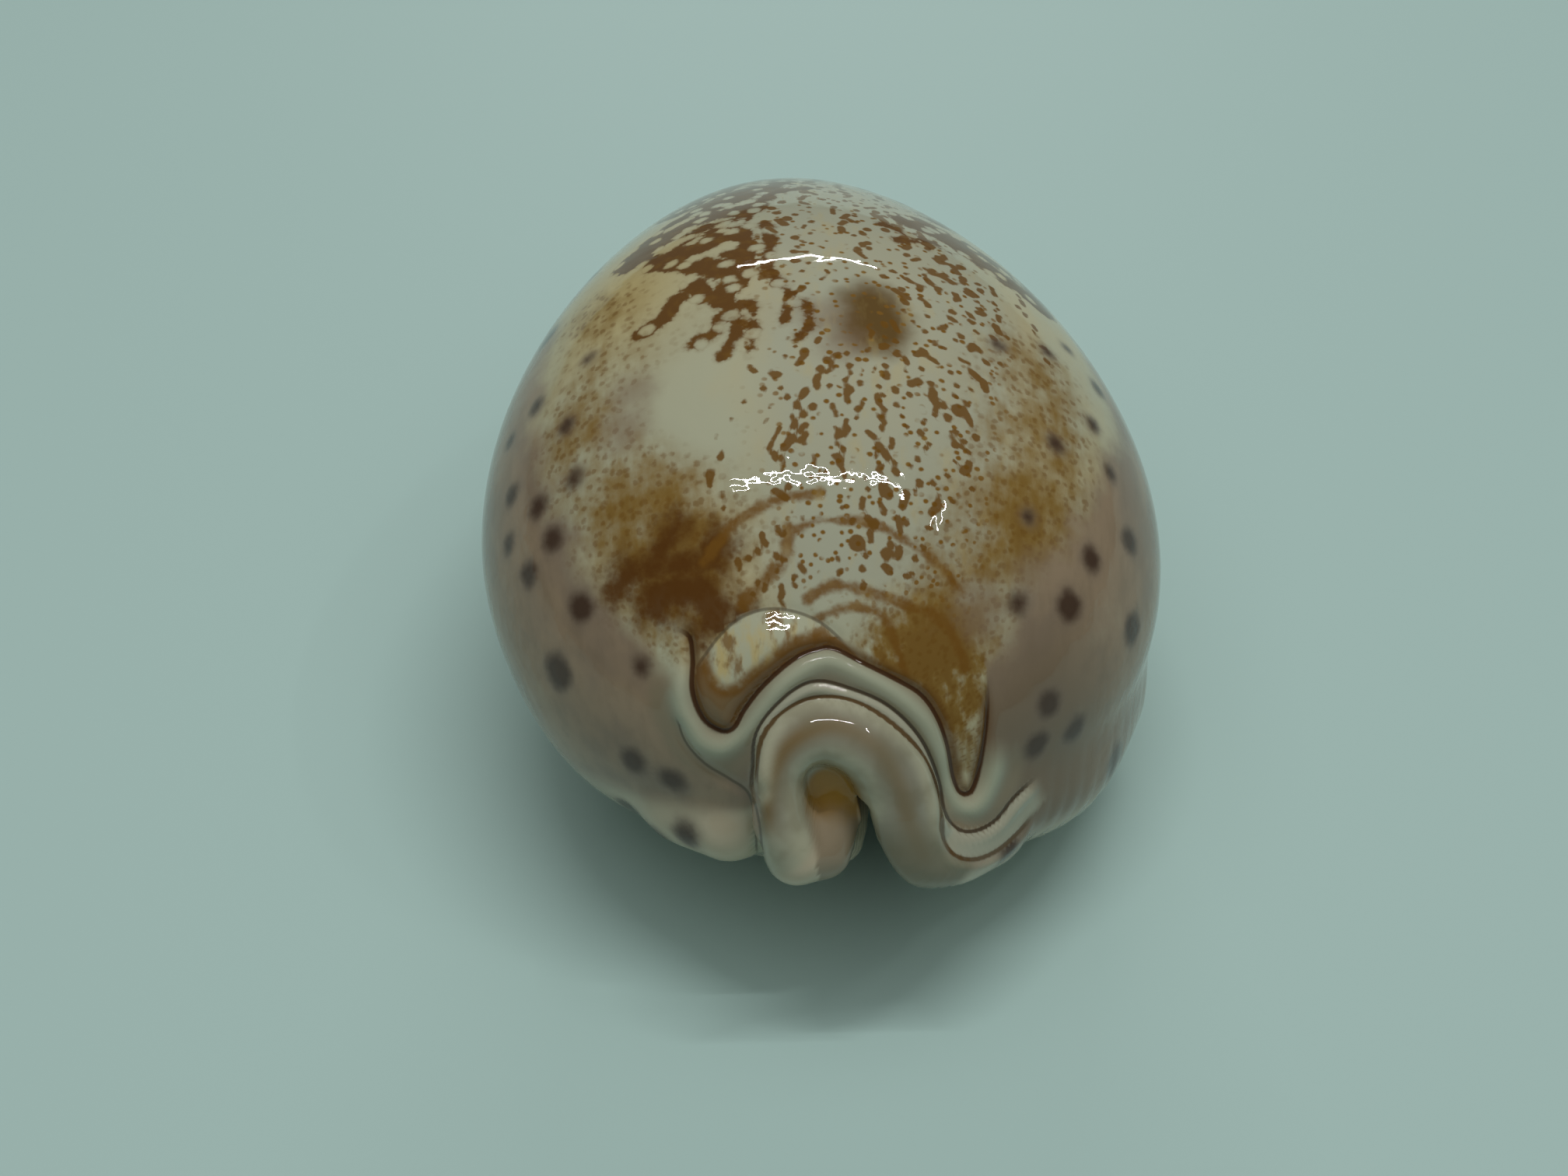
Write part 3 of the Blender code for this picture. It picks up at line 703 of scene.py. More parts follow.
def speckles(random):
    """Spots strung along the back, unevenly spaced, some drawn out into short dashes."""
    strokes = []
    for lon_a, lat_a, lon_b, lat_b, number, radius in SPECKLE_STRINGS:
        for k in range(number):
            t = (k + random.uniform(-0.25, 0.25)) / max(number - 1, 1)
            lon = lon_a + (lon_b - lon_a) * t + random.uniform(-1.8, 1.8)
            lat = lat_a + (lat_b - lat_a) * t
            size = radius * random.uniform(0.65, 1.25)
            reach = random.choice(DASHES, p=DASH_SHARES)
            heading = random.uniform(-1.1, 1.1)
            away = (lon + LON_PER_LAT * reach * math.sin(heading), lat + reach * math.cos(heading))
            strokes.append((size, [(lon, lat), away]))
    return strokes


def front_spots(random):
    """Margin spots over the front half, scattered in rows either side."""
    spots = []
    for side in (-1, 1):
        for lon, number in FRONT_SPOT_ROWS:
            for k in range(number):
                lat = FRONT_SPOTS_FROM + FRONT_SPOTS_SPAN * (k + random.uniform(0.2, 0.8)) / number
                spots.append((side * (lon + random.uniform(-5, 5)), lat, random.uniform(0.7, 1.6)))
    return spots


def margin_edge(lat, edge, narrowing, start, span):
    """Longitude at which a margin begins, narrowing towards the rear."""
    return edge - narrowing * np.clip(start - lat, 0, span)


def paint(base, directions, marks):
    """Distances and densities of the markings over the outer surface."""
    random = np.random.default_rng(SEED)
    lon = np.degrees(np.arctan2(directions[..., 0], directions[..., 2]))
    lat = np.degrees(np.arcsin(np.clip(directions[..., 1], -1, 1)))
    marks["network"] = np.maximum(stroke_distance(base, NETWORK), -stroke_distance(base, ISLANDS))
    strings = stroke_distance(base, speckles(random))
    marks["speckle"] = np.minimum(strings, spot_distance(base, BIG_SPECKLES))
    marks["arcs"] = stroke_distance(base, ARCS)
    marks["umber"] = stroke_distance(base, UMBER)
    marks["ochre"] = clouds(base, OCHRE)
    marks["smudge"] = spot_distance(base, SMUDGE)
    marks["mauve"] = spot_distance(base, MAUVE)
    marks["spots"] = spot_distance(base, MARGIN_SPOTS + BASE_SPOTS + front_spots(random))
    edge = np.where(lon < 0, margin_edge(lat, *LEFT_MARGIN), margin_edge(lat, *RIGHT_MARGIN))
    ahead = np.clip(lat - FRONT_MARGIN, 0, None) / (FRONT_MARGIN_END - FRONT_MARGIN)
    beyond = np.hypot(lon / edge, ahead)
    marks["margin"] = smooth((beyond - 1) * edge, -8, 11)
    marks["base"] = smooth(np.abs(lon), 100, 128)
    # painted shade: the margin on the outer lip's side goes darker towards the rear end
    marks["dusk"] = smooth(lon, 30, 60) * smooth(lat, -38, -56)
    inner = smooth(lon, -22, -10) * smooth(lon, 32, 20)
    marks["strip"] = inner * smooth(lat, -62, -48) * smooth(lat, 66, 50)
    marks["yellow"] = bell(lon, 16, -42) * bell(lat, 14, 2)
    marks["lon"] = lon
    marks["lat"] = lat


def paint_rear(marks):
    """Zones of the rear end, as soft masks."""
    suture, out, inside = marks["suture"], marks["groove_out"], marks["groove_in"]
    limb = marks["limb_inner"]
    end = marks["rear_end"]
    near = smooth(np.abs(marks["collar_line"]), 4.2, 3.2) * end
    marks["collar"] = near * smooth(inside, 0.1, -0.1)
    marks["collar_stripe"] = bell(marks["collar_line"], 0.75)
    marks["collar_pale"] = bell(limb, 0.8, 0.6)
    marks["collar_edge"] = bell(inside, 0.5, -0.4)
    marks["hollow"] = smooth(limb, 0.1, -0.5) * smooth(np.abs(limb), 4.5, 3.5) * end
    band = smooth(suture, 0.05, -0.05) * smooth(out, -0.05, 0.05)
    marks["band_zone"] = band * smooth(np.abs(marks["bead"]), 2.6, 1.6) * marks["bead_end"]
    marks["bead_tone"] = bell(marks["bead"], 0.75, 0.15)
    ridge = smooth(out, 0.05, -0.05) * smooth(inside, -0.05, 0.05)
    marks["ridge_zone"] = ridge * smooth(np.abs(out), 2.2, 1.6) * marks["groove_out_end"]
    dome = smooth(marks["dome_edge"], 0.1, -0.05) * smooth(suture, -0.05, 0.05)
    marks["dome"] = dome * smooth(np.abs(marks["dome_edge"]), 6.5, 5.0) * end
    fold = smooth(suture, -0.2, 0.2) * smooth(suture, 4.5, 2.0) * smooth(marks["across"], 4.0, 6.5)
    fold = fold * smooth(marks["rise"], -1.0, 1.0) * end
    marks["margin"] = marks["margin"] * (1 - fold)
    marks["ochre"] = np.maximum(marks["ochre"], 0.75 * fold)


def build_shell(names):
    """The fine shell as one mesh, with the marks of these names stored on its vertices."""
    grid, base, directions, marks = fine_surface()
    paint(base, directions, marks)
    paint_rear(marks)
    grid = place(grid)
    columns, rows = grid.shape[0] - 1, grid.shape[1]
    ring = grid[:columns, 1:-1]
    vertices = np.vstack([grid[:1, 0], ring.reshape(-1, 3), grid[:1, -1]]) * MM
    index = 1 + np.arange(columns * (rows - 2)).reshape(columns, rows - 2)
    beside = np.roll(index, -1, axis=0)
    quads = np.stack([index[:, :-1], beside[:, :-1], beside[:, 1:], index[:, 1:]], -1)
    quads = quads.reshape(-1, 4)
    top = np.stack([np.zeros(columns, int), beside[:, 0], index[:, 0]], -1)
    bottom = np.stack([np.full(columns, len(vertices) - 1), index[:, -1], beside[:, -1]], -1)
    mesh = bpy.data.meshes.new("cowrie")
    mesh.from_pydata(vertices.tolist(), [], quads.tolist() + top.tolist() + bottom.tolist())
    mesh.shade_smooth()
    lip = np.concatenate([np.zeros(FINE_ROWS + 1), np.linspace(0, 1, FINE_LIP_ROWS + 1)[1:]])
    lip = np.concatenate([lip, np.ones(rows - len(lip))])
    marks["inside"] = np.broadcast_to(lip, (columns + 1, rows))
    for name in sorted(names):
        values = marks[name]
        if values.shape[1] < rows:
            more = np.repeat(values[:, -1:], rows - values.shape[1], 1)
            values = np.concatenate([values, more], 1)
        flat = np.concatenate([values[:1, 0], values[:columns, 1:-1].ravel(), values[:1, -1]])
        layer = mesh.attributes.new(name, "FLOAT", "POINT")
        layer.data.foreach_set("value", flat.astype(np.float32))
    lay_out(mesh, grid)
    shell = bpy.data.objects.new("cowrie_shell", mesh)
    bpy.context.scene.collection.objects.link(shell)
    print("fine shell:", len(vertices), "vertices,", 2 * len(quads) + 2 * columns, "triangles")
    return shell


def square(reach, angle):
    """Points of a square from -1 to 1, from a disc's reach and angle."""
    octant = (angle + math.pi / 4) % (2 * math.pi)
    side = octant // (math.pi / 2)
    along = (octant % (math.pi / 2)) / (math.pi / 4) - 1
    far, wide = reach, reach * along
    x = np.choose(side.astype(int), [far, -wide, -far, wide])
    y = np.choose(side.astype(int), [wide, far, -wide, -far])
    return np.stack([x, y], -1)


def lay_out(mesh, grid):
    """A flat map for baking: the outside and lips fill a large square, the inside a small one."""
    columns, rows = grid.shape[0] - 1, grid.shape[1]
    step = np.linalg.norm(np.diff(grid, axis=1), axis=-1)
    run = np.hstack([np.zeros((columns + 1, 1)), np.cumsum(step, axis=1)])
    edge = FINE_ROWS + FINE_LIP_ROWS
    outside = run / run[:, edge:edge + 1]
    outside = outside * (1 + MAP_BULGE) - MAP_BULGE * outside ** 2
    inside = (run[:, -1:] - run) / (run[:, -1:] - run[:, edge:edge + 1])
    angle = np.repeat(fine_columns()[0][:, None], rows, axis=1)
    large = (square(outside, angle) + 1) / 2 * MAP_LARGE
    small = 1 - (square(inside, angle) + 1) / 2 * MAP_SMALL
    quads = []
    for chart, start, stop in ((large, 1, edge), (small, edge, rows - 2)):
        near, far = chart[:-1], chart[1:]
        cells = [near[:, start:stop], far[:, start:stop], far[:, start + 1:stop + 1]]
        quads.append(np.stack(cells + [near[:, start + 1:stop + 1]], axis=2))
    quads = np.concatenate(quads, axis=1).reshape(-1, 2)
    top = np.stack([large[:-1, 0], large[1:, 1], large[:-1, 1]], axis=1).reshape(-1, 2)
    bottom = np.stack([small[:-1, -1], small[:-1, -2], small[1:, -2]], axis=1).reshape(-1, 2)
    layer = mesh.uv_layers.new(name="OFBake")
    layer.uv.foreach_set("vector", np.concatenate([quads, top, bottom]).ravel().astype(np.float32))


def place(grid):
    """Close the crowns, flatten the foot and set the shell in the CAD model's box."""
    grid[:, 0] = grid[:, 0].mean(axis=0)
    grid[:, -1] = grid[:, -1].mean(axis=0)
    grid[-1] = grid[0]
    lit_left_foot = grid[..., 2].min() + FOOT_DEPTH
    grid[..., 2] = np.maximum(grid[..., 2], lit_left_foot) - lit_left_foot
    low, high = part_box("shell")
    centre = np.array((low + high) / 2)[:2] / MM
    flat = grid.reshape(-1, 3)
    grid[..., :2] += centre - (flat.min(axis=0) + flat.max(axis=0))[:2] / 2
    return grid


# --- enamel ---
class Field:
    """A value that nodes work out at each point; its operators add the nodes."""

    def __init__(self, paint, socket):
        self.paint = paint
        self.socket = socket

    def __add__(self, other):
        return self.paint.join("ShaderNodeMath", "ADD", self, other)

    def __sub__(self, other):
        return self.paint.join("ShaderNodeMath", "SUBTRACT", self, other)

    def __mul__(self, other):
        return self.paint.join("ShaderNodeMath", "MULTIPLY", self, other)

    def __abs__(self):
        return self.paint.join("ShaderNodeMath", "ABSOLUTE", self)


class Paint:
    """Adds nodes to a material and lays tone over tone; sizes are in millimetres."""

    def __init__(self, material, ground):
        self.nodes = material.node_tree.nodes
        self.links = material.node_tree.links
        metres = Field(self, self.nodes.new("ShaderNodeTexCoord").outputs["Object"])
        self.point = self.join("ShaderNodeVectorMath", "MULTIPLY", metres, (1 / MM,) * 3)
        self.colour = ground
        self.marks_read = set()

    def put(self, socket, value):
        """Feed a socket from a field or with a plain value."""
        if isinstance(value, Field):
            self.links.new(value.socket, socket)
        else:
            socket.default_value = value

    def join(self, kind, operation, *values):
        """A node of this kind that works on the values."""
        node = self.nodes.new(kind)
        node.operation = operation
        for socket, value in zip(node.inputs, values):
            self.put(socket, value)
        return Field(self, node.outputs[0])

    def mark(self, name):
        """A mark stored on the mesh under this name."""
        self.marks_read.add(name)
        node = self.nodes.new("ShaderNodeAttribute")
        node.attribute_name = name
        return Field(self, node.outputs["Fac"])

    def step(self, value, start, stop, low=0.0, high=1.0):
        """Soft step of a value, from low at start to high at stop."""
        node = self.nodes.new("ShaderNodeMapRange")
        node.interpolation_type = "SMOOTHSTEP"
        for socket, number in zip(node.inputs, (value, start, stop, low, high)):
            self.put(socket, number)
        return Field(self, node.outputs["Result"])

    def noise(self, size, detail=2.0, stretch=(1, 1, 1), shift=0.0):
        """Noise about 0.5 with features of about this size, stretched along the axes."""
        squeeze = tuple(1 / s for s in stretch)
        away = (shift, -shift, 2 * shift)
        moved = self.join("ShaderNodeVectorMath", "MULTIPLY_ADD", self.point, squeeze, away)
        node = self.nodes.new("ShaderNodeTexNoise")
        self.put(node.inputs["Vector"], moved)
        node.inputs["Scale"].default_value = 1 / size
        node.inputs["Detail"].default_value = detail
        return Field(self, node.outputs["Fac"])

    def wave(self, amount, size, detail=2.0, stretch=(1, 1, 1), shift=0.0):
        """Noise about 0, this much either way."""
        return (self.noise(size, detail, stretch, shift) - 0.5) * (2 * amount)

    def dots_on_back(self, spacing, radius, shift=0.0):
        """Distance from the edges of random dots, about this far apart on the unrolled back."""
        flat = self.nodes.new("ShaderNodeCombineXYZ")
        self.put(flat.inputs["X"], self.mark("lon") * MM_PER_LON + shift)
        self.put(flat.inputs["Y"], self.mark("lat") * MM_PER_LAT)
        node = self.nodes.new("ShaderNodeTexVoronoi")
        node.voronoi_dimensions = "2D"
        self.links.new(flat.outputs["Vector"], node.inputs["Vector"])
        node.inputs["Scale"].default_value = 1 / spacing
        return Field(self, node.outputs["Distance"]) * spacing - radius

    def mix(self, share, a, b):
        """The colour a with this share of the colour b."""
        node = self.nodes.new("ShaderNodeMix")
        node.data_type = "RGBA"
        colour_a, colour_b = [socket for socket in node.inputs if socket.type == "RGBA"]
        self.put(node.inputs["Factor"], share)
        self.put(colour_a, a)
        self.put(colour_b, b)
        return Field(self, next(socket for socket in node.outputs if socket.type == "RGBA"))

    def lay(self, share, tone):
        """Lay this share of a tone over the colour so far."""
        self.colour = self.mix(share, self.colour, tone)

    def line(self, name, offset, half_width, soft, tone, strength=0.95):
        """Draw a line beside one of the rear end's curves, fading out at its ends."""
        away = abs(self.mark(name) - offset)
        line = self.step(away, half_width + soft, half_width, 0.0, strength)
        self.lay(line * self.mark(name + "_end"), tone)


def rgb(red, green, blue):
    return (red, green, blue, 1.0)


GLAZE_IOR = 1.48
GLAZE_ROUGHNESS = (0.012, 0.04)
WAVE_HEIGHT = 0.05  # of the glaze's slow waves
RIPPLE_LAT = 38.0  # its ripples are highest this many degrees behind the middle
RIPPLE_HEIGHTS = (0.014, 0.05)  # of the ripples elsewhere, and there
CREAM = rgb(0.5, 0.45, 0.27)
PEARL = rgb(0.41, 0.42, 0.315)
MILK = rgb(0.46, 0.465, 0.325)
YELLOW_CREAM = rgb(0.54, 0.42, 0.16)
OCHRE_TONE = rgb(0.235, 0.135, 0.022)
UMBER_TONE = rgb(0.1, 0.035, 0.003)
NETWORK_TONE = rgb(0.128, 0.053, 0.007)
SPECKLE_TONE = rgb(0.165, 0.075, 0.008)
DOT_TONE = rgb(0.21, 0.105, 0.016)
ARC_TONE = rgb(0.18, 0.08, 0.009)
SMUDGE_TONE = rgb(0.118, 0.058, 0.005)
MAUVE_TONE = rgb(0.25, 0.19, 0.13)
MARGIN_TONE = rgb(0.315, 0.235, 0.15)
MARGIN_DARK = rgb(0.2, 0.15, 0.095)
SPOT_TONE = rgb(0.06, 0.032, 0.018)
HALO_TONE = rgb(0.18, 0.138, 0.1)
IVORY = rgb(0.5, 0.44, 0.31)
COLLAR_TONE = rgb(0.272, 0.262, 0.195)
COLLAR_PALE = rgb(0.45, 0.44, 0.31)
COLLAR_SHADE = rgb(0.185, 0.16, 0.092)
COLLAR_BROWN = rgb(0.2, 0.135, 0.055)
BEAD_TONE = rgb(0.4, 0.42, 0.3)
BAND_GREY = rgb(0.25, 0.205, 0.13)
RIDGE_TONE = rgb(0.41, 0.405, 0.3)
HOLLOW_TONE = rgb(0.32, 0.175, 0.024)
HOLLOW_PINK = rgb(0.28, 0.225, 0.145)
DOME_MAUVE = rgb(0.21, 0.135, 0.06)
SEAM_BROWN = rgb(0.14, 0.062, 0.01)
SEAM_TONE = rgb(0.055, 0.02, 0.004)
LINE_TONE = rgb(0.07, 0.048, 0.026)
LINE_BROWN = rgb(0.11, 0.06, 0.018)
AMBER = rgb(0.4, 0.14, 0.006)
RED_BROWN = rgb(0.15, 0.045, 0.008)


def enamel():
    """Glossy enamel over cream, ochre and brown, and the names of the marks that it reads."""
    material = bpy.data.materials.new("shell_enamel")
    material.use_nodes = True
    p = Paint(material, CREAM)
    wander = p.wave(0.7, 1.3, 3.0)
    ragged = wander + p.wave(0.22, 0.35, 2.0, shift=7.0)

    p.lay(p.step(p.noise(9.0, 3.0, (1, 2, 1)), 0.36, 0.56), MILK)
    p.lay(p.mark("strip") * 0.75, PEARL)
    p.lay(p.mark("yellow") * 0.8, YELLOW_CREAM)
    ochre_layer(p)
    margin_layer(p)
    umber_and_arcs(p, ragged)
    fine_dots(p, ragged)
    speckles_and_network(p, ragged)
    spot_layer(p, wander)
    dome_layer(p)
    rear_layer(p)
    aperture_layer(p)

    shader = material.node_tree.nodes["Principled BSDF"]
    p.put(shader.inputs["Base Color"], p.colour)
    shader.inputs["IOR"].default_value = GLAZE_IOR
    haze = p.step(p.noise(2.2, 3.0, shift=3.0), 0.35, 0.75, *GLAZE_ROUGHNESS)
    p.put(shader.inputs["Roughness"], haze)
    p.put(shader.inputs["Normal"], glaze_waves(p))
    return material, p.marks_read


def glaze_waves(p):
    """Slight waves of the glaze, higher and finer where the back turns down to the rear end."""
    waves = p.noise(3.2, 1.0, shift=5.0) * WAVE_HEIGHT
    height = p.step(abs(p.mark("lat") + RIPPLE_LAT), 18.0, 4.0, *RIPPLE_HEIGHTS)
    patchy = p.step(p.noise(5.0, 1.0, shift=2.0), 0.4, 0.6, 0.25, 1.0)
    ripples = p.noise(1.0, 1.0, shift=9.0) * height * patchy
    bump = p.nodes.new("ShaderNodeBump")
    bump.inputs["Strength"].default_value = 1.0
    bump.inputs["Distance"].default_value = MM
    p.put(bump.inputs["Height"], waves + ripples)
    return Field(p, bump.outputs["Normal"])


def rear_veins(p, amount):
    """Fine streaks running down the rear end, none on the rest of the shell."""
    rear = p.step(p.mark("lat"), -48.0, -64.0)
    return p.wave(amount, 0.9, 3.0, (1, 1, 6), 11.0) * rear


def ochre_layer(p):
    """Mottled ochre clouds with darker hearts and freckles, the smudge and the mauve patches."""
    cloud = p.mark("ochre")
    mottle = p.wave(0.8, 1.5, 5.0, shift=2.0)
    streaks = p.wave(0.4, 0.6, 3.0, (1, 5, 1.5), 4.0)
    patches = p.wave(0.7, 4.5, 2.0, shift=8.0)
    uneven = mottle + streaks + patches + rear_veins(p, 2.2)
    density = cloud + uneven * p.step(cloud, 0.0, 0.7)
    p.lay(p.step(density, -0.1, 1.6, 0.0, 0.95), OCHRE_TONE)
    p.lay(p.step(density, 1.1, 2.2, 0.0, 0.55), SPECKLE_TONE)
    freckles = p.dots_on_back(0.85, 0.2, shift=3.0) + p.wave(0.35, 0.5)
    freckles = p.step(freckles, 0.12, -0.12) * p.step(density, 0.05, 0.7, 0.0, 0.5)
    p.lay(freckles, SPECKLE_TONE)
    smudge = p.mark("smudge") + p.wave(0.9, 2.5, 3.0)
    p.lay(p.step(smudge, 1.3, -1.7, 0.0, 0.95), SMUDGE_TONE)
    mauve = p.mark("mauve") + p.wave(0.8, 1.5, 3.0)
    p.lay(p.step(mauve, 1.5, -1.2, 0.0, 0.55), MAUVE_TONE)


def margin_layer(p):
    """Pinkish grey enamel laid over the sides, darkened by painted shade on the outer lip's side
    towards the rear end, pale on the front lips and ivory on the base.
    """
    blotches = p.step(p.noise(5.0, 3.0, (1, 2, 1), 4.0), 0.42, 0.66)
    side = p.mix(blotches, MARGIN_TONE, MAUVE_TONE)
    lines = p.step(p.noise(0.9, 3.0, (1, 6, 2), 2.0), 0.4, 0.75, 0.0, 0.35)
    side = p.mix(lines, side, MARGIN_DARK)
    # painted shade: darkens the margin on the outer lip's side towards the rear end
    side = p.mix(p.mark("dusk"), side, MARGIN_DARK)
    p.lay(p.step(p.mark("margin") + p.wave(0.55, 3.5, 3.0, shift=1.0), 0.15, 0.9), side)
    p.lay(p.step(p.mark("lat"), 66.0, 80.0, 0.0, 0.6), COLLAR_PALE)
    p.lay(p.step(p.mark("base") + p.wave(0.15, 4.0, 3.0, shift=6.0), 0.2, 0.9), IVORY)


def umber_and_arcs(p, ragged):
    """The dark umber patch and the growth arcs of the back."""
    umber = p.mark("umber") + (ragged * 1.8 + rear_veins(p, 2.5))
    p.lay(p.step(umber, 1.7, -0.8, 0.0, 0.94), UMBER_TONE)
    arcs = p.step(p.mark("arcs") + ragged * 0.6, 0.28, -0.22, 0.0, 0.9)
    worn = p.step(p.noise(1.1, 3.0, shift=2.0), 0.3, 0.55, 0.75, 1.0)
    p.lay(arcs * worn, ARC_TONE)


def fine_dots(p, ragged):
    """Small orange-brown dots and a faint blush between the larger speckles of the back."""
    strip = p.mark("strip")
    dots = p.step(p.dots_on_back(0.95, 0.17) + ragged * 0.22, 0.07, -0.07)
    sparse = p.step(p.noise(1.7, 1.0, shift=6.0), 0.42, 0.54)
    p.lay(dots * sparse * strip, DOT_TONE)
    blush = p.step(p.noise(1.3, 3.0, (1, 2.5, 1), 3.0), 0.5, 0.75, 0.0, 0.25)
    p.lay(blush * strip, YELLOW_CREAM)


def speckles_and_network(p, ragged):
    """Crisp brown speckles, and the brown network with its round cream holes."""
    speckle = p.step(p.mark("speckle") + ragged * 0.22, 0.08, -0.07, 0.0, 0.92)
    p.lay(speckle * p.step(p.mark("margin"), 0.9, 0.3), SPECKLE_TONE)
    holes = p.dots_on_back(2.1, 0.55, shift=1.0) + ragged * 0.6
    network = p.mark("network") + ragged
    network = p.join("ShaderNodeMath", "MAXIMUM", network, holes * -1.0)
    p.lay(p.step(network, 0.45, -0.35, 0.0, 0.5), SPECKLE_TONE)
    lighter = p.step(p.noise(1.2, 3.0, shift=4.0), 0.45, 0.75)
    brown = p.mix(lighter, NETWORK_TONE, SPECKLE_TONE)
    p.lay(p.step(network, 0.14, -0.14, 0.0, 0.95), brown)


def spot_layer(p, wander):
    """Blurred dark spots of the margins and base, under the enamel."""
    spots = p.mark("spots") + wander * 0.5
    p.lay(p.step(spots, 0.9, -0.5, 0.0, 0.55), HALO_TONE)
    p.lay(p.step(spots, 0.35, -0.75, 0.0, 0.95), SPOT_TONE)


def dome_layer(p):
    """The spire's dome: streaked cream with brown smears, mauve and a brown hook below."""
    streaks = p.noise(1.2, 3.0, (1, 3, 3), 8.0)
    dome = p.mix(p.step(streaks, 0.45, 0.7, 0.0, 0.8), MILK, YELLOW_CREAM)
    smears = p.noise(1.0, 4.0, (1, 2, 2), 1.0) + (streaks - 0.5) * 0.2
    dome = p.mix(p.step(smears, 0.5, 0.66, 0.0, 0.75), dome, ARC_TONE)
    dome = p.mix(p.step(p.mark("hook"), 0.5, -0.3), dome, DOME_MAUVE)
    p.lay(p.mark("dome"), dome)
    hook = p.step(abs(p.mark("hook")), 0.75, 0.1, 0.0, 0.85)
    broken = p.step(p.noise(0.8, 3.0, shift=2.0), 0.3, 0.6, 0.5, 1.0)
    p.lay(hook * p.mark("dome") * broken, ARC_TONE)


def collar_colour(p):
    """The collar: greyish beige with a brown stripe, pale along its edges; at the lower ends of its
    limbs painted light lightens the left one as if lit from below, and the right one goes darker
    grey.
    """
    stripe = p.mark("collar_stripe") * p.step(p.mark("across"), -3.0, 3.0, 0.95, 0.55)
    collar = p.mix(stripe, COLLAR_TONE, COLLAR_BROWN)
    collar = p.mix(p.mark("collar_pale") * 0.8, collar, COLLAR_PALE)
    collar = p.mix(p.mark("collar_edge") * 0.9, collar, COLLAR_PALE)
    # painted light: the lower end of the left limb lightened as if lit from below; the right one
    # turns darker grey
    lit_left_foot = p.mix(p.step(p.mark("across"), 0.0, 4.0), COLLAR_PALE, COLLAR_SHADE)
    collar = p.mix(p.step(p.mark("rise"), -0.5, -3.5, 0.0, 0.7), collar, lit_left_foot)
    grey = p.step(p.noise(2.4, 2.0, shift=1.0), 0.42, 0.66, 0.0, 0.35)
    return p.mix(grey, collar, COLLAR_SHADE)


def rear_layer(p):
    """Bead, ridge, collar and hollow of the rear end, and the dark lines between them."""
    p.line("dome_edge", 0.05, 0.05, 0.12, LINE_TONE, 0.6)
    p.line("suture", 0.25, 0.1, 0.7, SEAM_BROWN, 0.75)
    p.lay(p.mark("band_zone"), p.mix(p.mark("bead_tone"), BAND_GREY, BEAD_TONE))
    p.lay(p.mark("ridge_zone"), RIDGE_TONE)
    p.lay(p.mark("collar"), collar_colour(p))
    depth = p.step(p.mark("rise") + p.wave(1.0, 2.0), -2.2, 0.6)
    p.lay(p.mark("hollow"), p.mix(depth, HOLLOW_PINK, HOLLOW_TONE))
    p.line("groove_out", 0.05, 0.07, 0.12, LINE_TONE)
    p.line("groove_in", 0.05, 0.08, 0.14, LINE_BROWN)
    p.line("crease", 0.0, 0.03, 0.12, LINE_TONE, 0.7)
    p.line("suture", 0.0, 0.1, 0.12, SEAM_TONE)


def aperture_layer(p):
    """Amber inside the outer lip and deep red-brown inside the inner lip."""
    deep = p.mix(p.step(p.mark("labral"), -0.2, 0.2), RED_BROWN, AMBER)
    p.lay(p.step(p.mark("inside"), 0.05, 0.6), deep)


# --- floor, light and camera ---
FLOOR_TONE = rgb(0.45, 0.62, 0.58)
SKY_TONE = rgb(0.92, 1.0, 0.95)
SKY_STRENGTH = 0.1
TUBES = [  # direction from the shell, length, width (m), power (W)
    ((0.05, 0.91, 0.41), 0.36, 0.007, 0.9),
    ((0.08, 0.06, 0.99), 0.62, 0.01, 2.4),
    ((0.53, -0.03, 0.84), 0.006, 0.09, 0.16),
]
TUBE_DISTANCE = 0.9
SOFT_BOX = ((0.0, -0.2, 1.0), 1.5, 5.4)  # direction, size, power; it isn't mirrored in the shell
SOFT_BOX_DISTANCE = 1.1
FLOOR_HALF = 2.0
CAMERA_TARGET = (-0.0031, -0.009, 0.018)
CAMERA_HEADING = 3.3  # degrees to the right of +Y
CAMERA_ELEVATION = 45.8
CAMERA_DISTANCE = 0.174
CAMERA_ROLL = 1.9
CAMERA_LENS = 52.3


def add_floor():
    ends = ((-1, -1), (1, -1), (1, 1), (-1, 1))
    corners = [(x * FLOOR_HALF, y * FLOOR_HALF, 0.0) for x, y in ends]
    mesh = bpy.data.meshes.new("floor")
    mesh.from_pydata(corners, [], [(0, 1, 2, 3)])
    material = bpy.data.materials.new("floor")
    material.use_nodes = True
    shader = material.node_tree.nodes["Principled BSDF"]
    shader.inputs["Base Color"].default_value = FLOOR_TONE
    shader.inputs["Roughness"].default_value = 0.5
    shader.inputs["Specular IOR Level"].default_value = 0.2
    mesh.materials.append(material)
    floor = bpy.data.objects.new("floor", mesh)
    bpy.context.scene.collection.objects.link(floor)


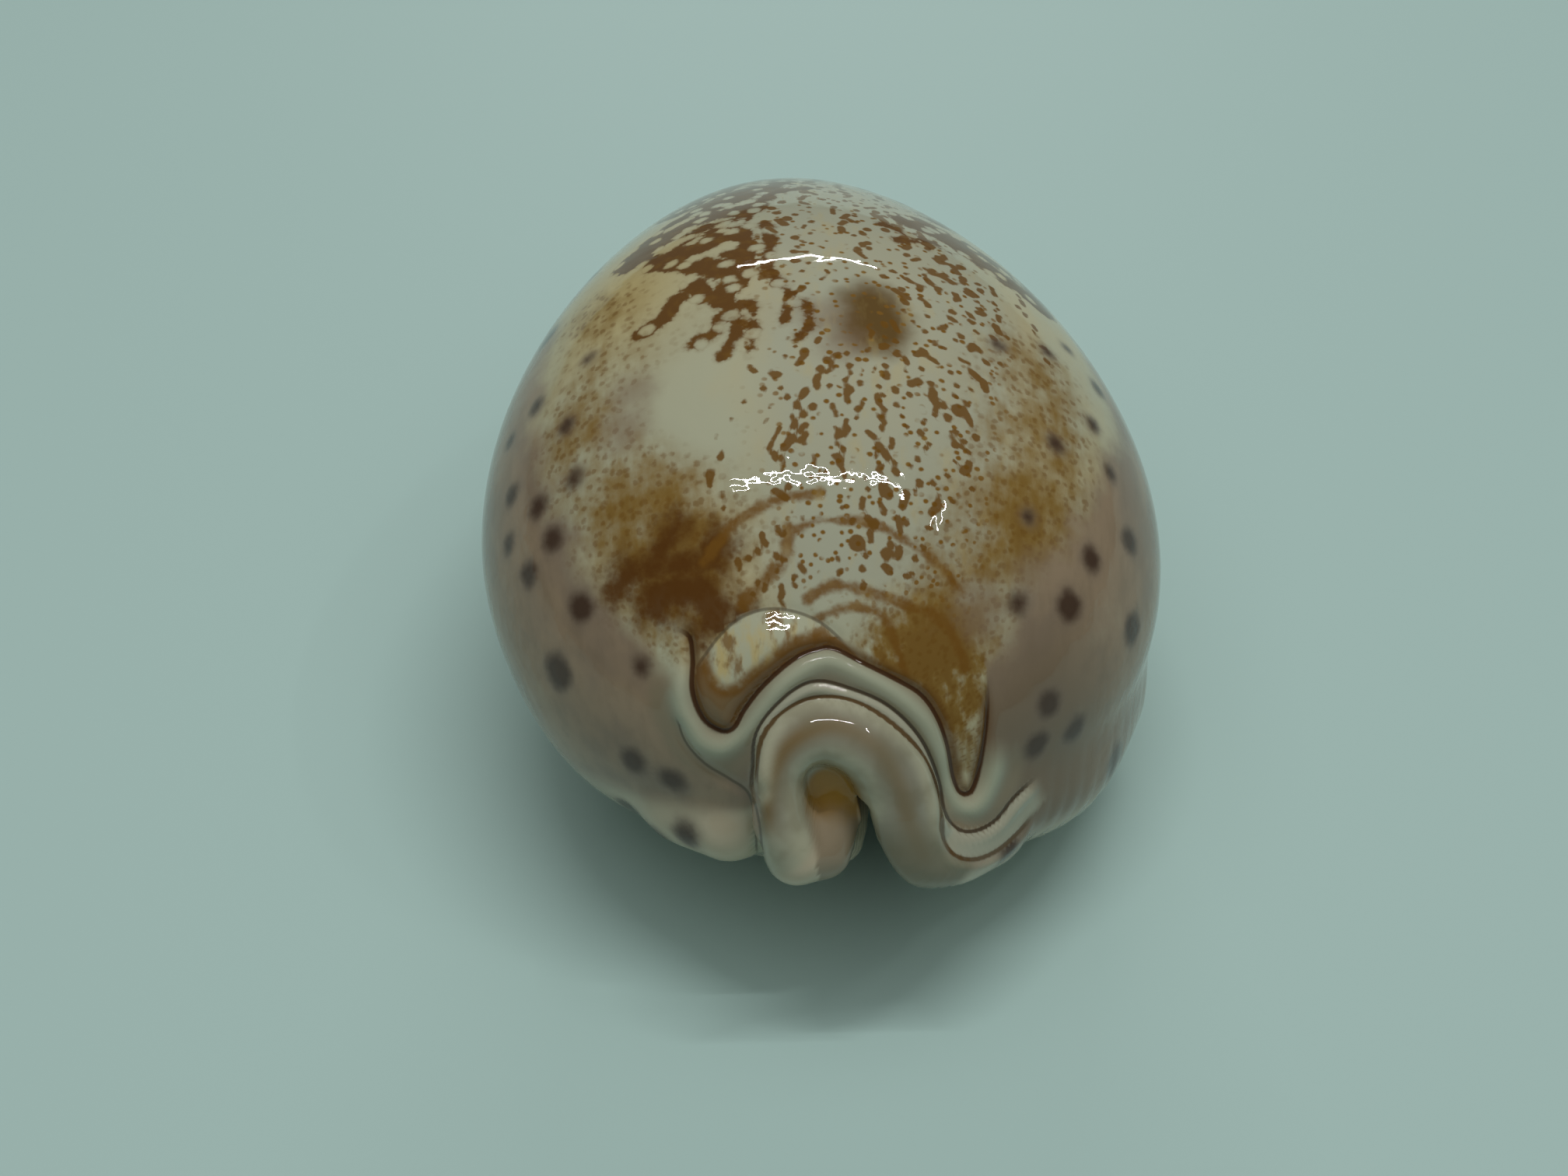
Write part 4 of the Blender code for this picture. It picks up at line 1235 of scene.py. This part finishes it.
def add_light(name, direction, distance, length, width, power):
    """A rectangular light that faces the shell, its length across the view."""
    data = bpy.data.lights.new(name, "AREA")
    data.shape = "RECTANGLE"
    data.size = length
    data.size_y = width
    data.energy = power
    light = bpy.data.objects.new(name, data)
    away = Vector(direction).normalized()
    sideways = Vector((1, 0, 0)) - away * away.x
    sideways.normalize()
    axes = Matrix((sideways, away.cross(sideways), away)).transposed()
    light.matrix_world = Matrix.Translation(away * distance) @ axes.to_4x4()
    bpy.context.scene.collection.objects.link(light)
    return light


def add_lights():
    for number, (direction, length, width, power) in enumerate(TUBES):
        add_light(f"tube_{number}", direction, TUBE_DISTANCE, length, width, power)
    direction, size, power = SOFT_BOX
    soft_box = add_light("soft_box", direction, SOFT_BOX_DISTANCE, size, size, power)
    soft_box.visible_glossy = False
    world = bpy.data.worlds.new("room")
    bpy.context.scene.world = world
    world.use_nodes = True
    background = world.node_tree.nodes["Background"]
    background.inputs["Color"].default_value = SKY_TONE
    background.inputs["Strength"].default_value = SKY_STRENGTH


def add_camera():
    heading, elevation = math.radians(CAMERA_HEADING), math.radians(CAMERA_ELEVATION)
    forward = Vector((
        math.sin(heading) * math.cos(elevation),
        math.cos(heading) * math.cos(elevation),
        -math.sin(elevation),
    ))
    data = bpy.data.cameras.new("camera")
    data.lens = CAMERA_LENS
    data.clip_start = 0.01
    camera = bpy.data.objects.new("camera", data)
    roll = Matrix.Rotation(math.radians(CAMERA_ROLL), 3, "Z")
    turned = forward.to_track_quat("-Z", "Y").to_matrix() @ roll
    place_at = Matrix.Translation(Vector(CAMERA_TARGET) - CAMERA_DISTANCE * forward)
    camera.matrix_world = place_at @ turned.to_4x4()
    bpy.context.scene.collection.objects.link(camera)
    bpy.context.scene.camera = camera


def main():
    material, marks_read = enamel()
    shell = build_shell(marks_read)
    shell.data.materials.append(material)
    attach(shell, "root")
    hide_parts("shell")
    add_floor()
    add_lights()
    add_camera()
    bpy.context.scene.view_settings.view_transform = "Standard"


main()
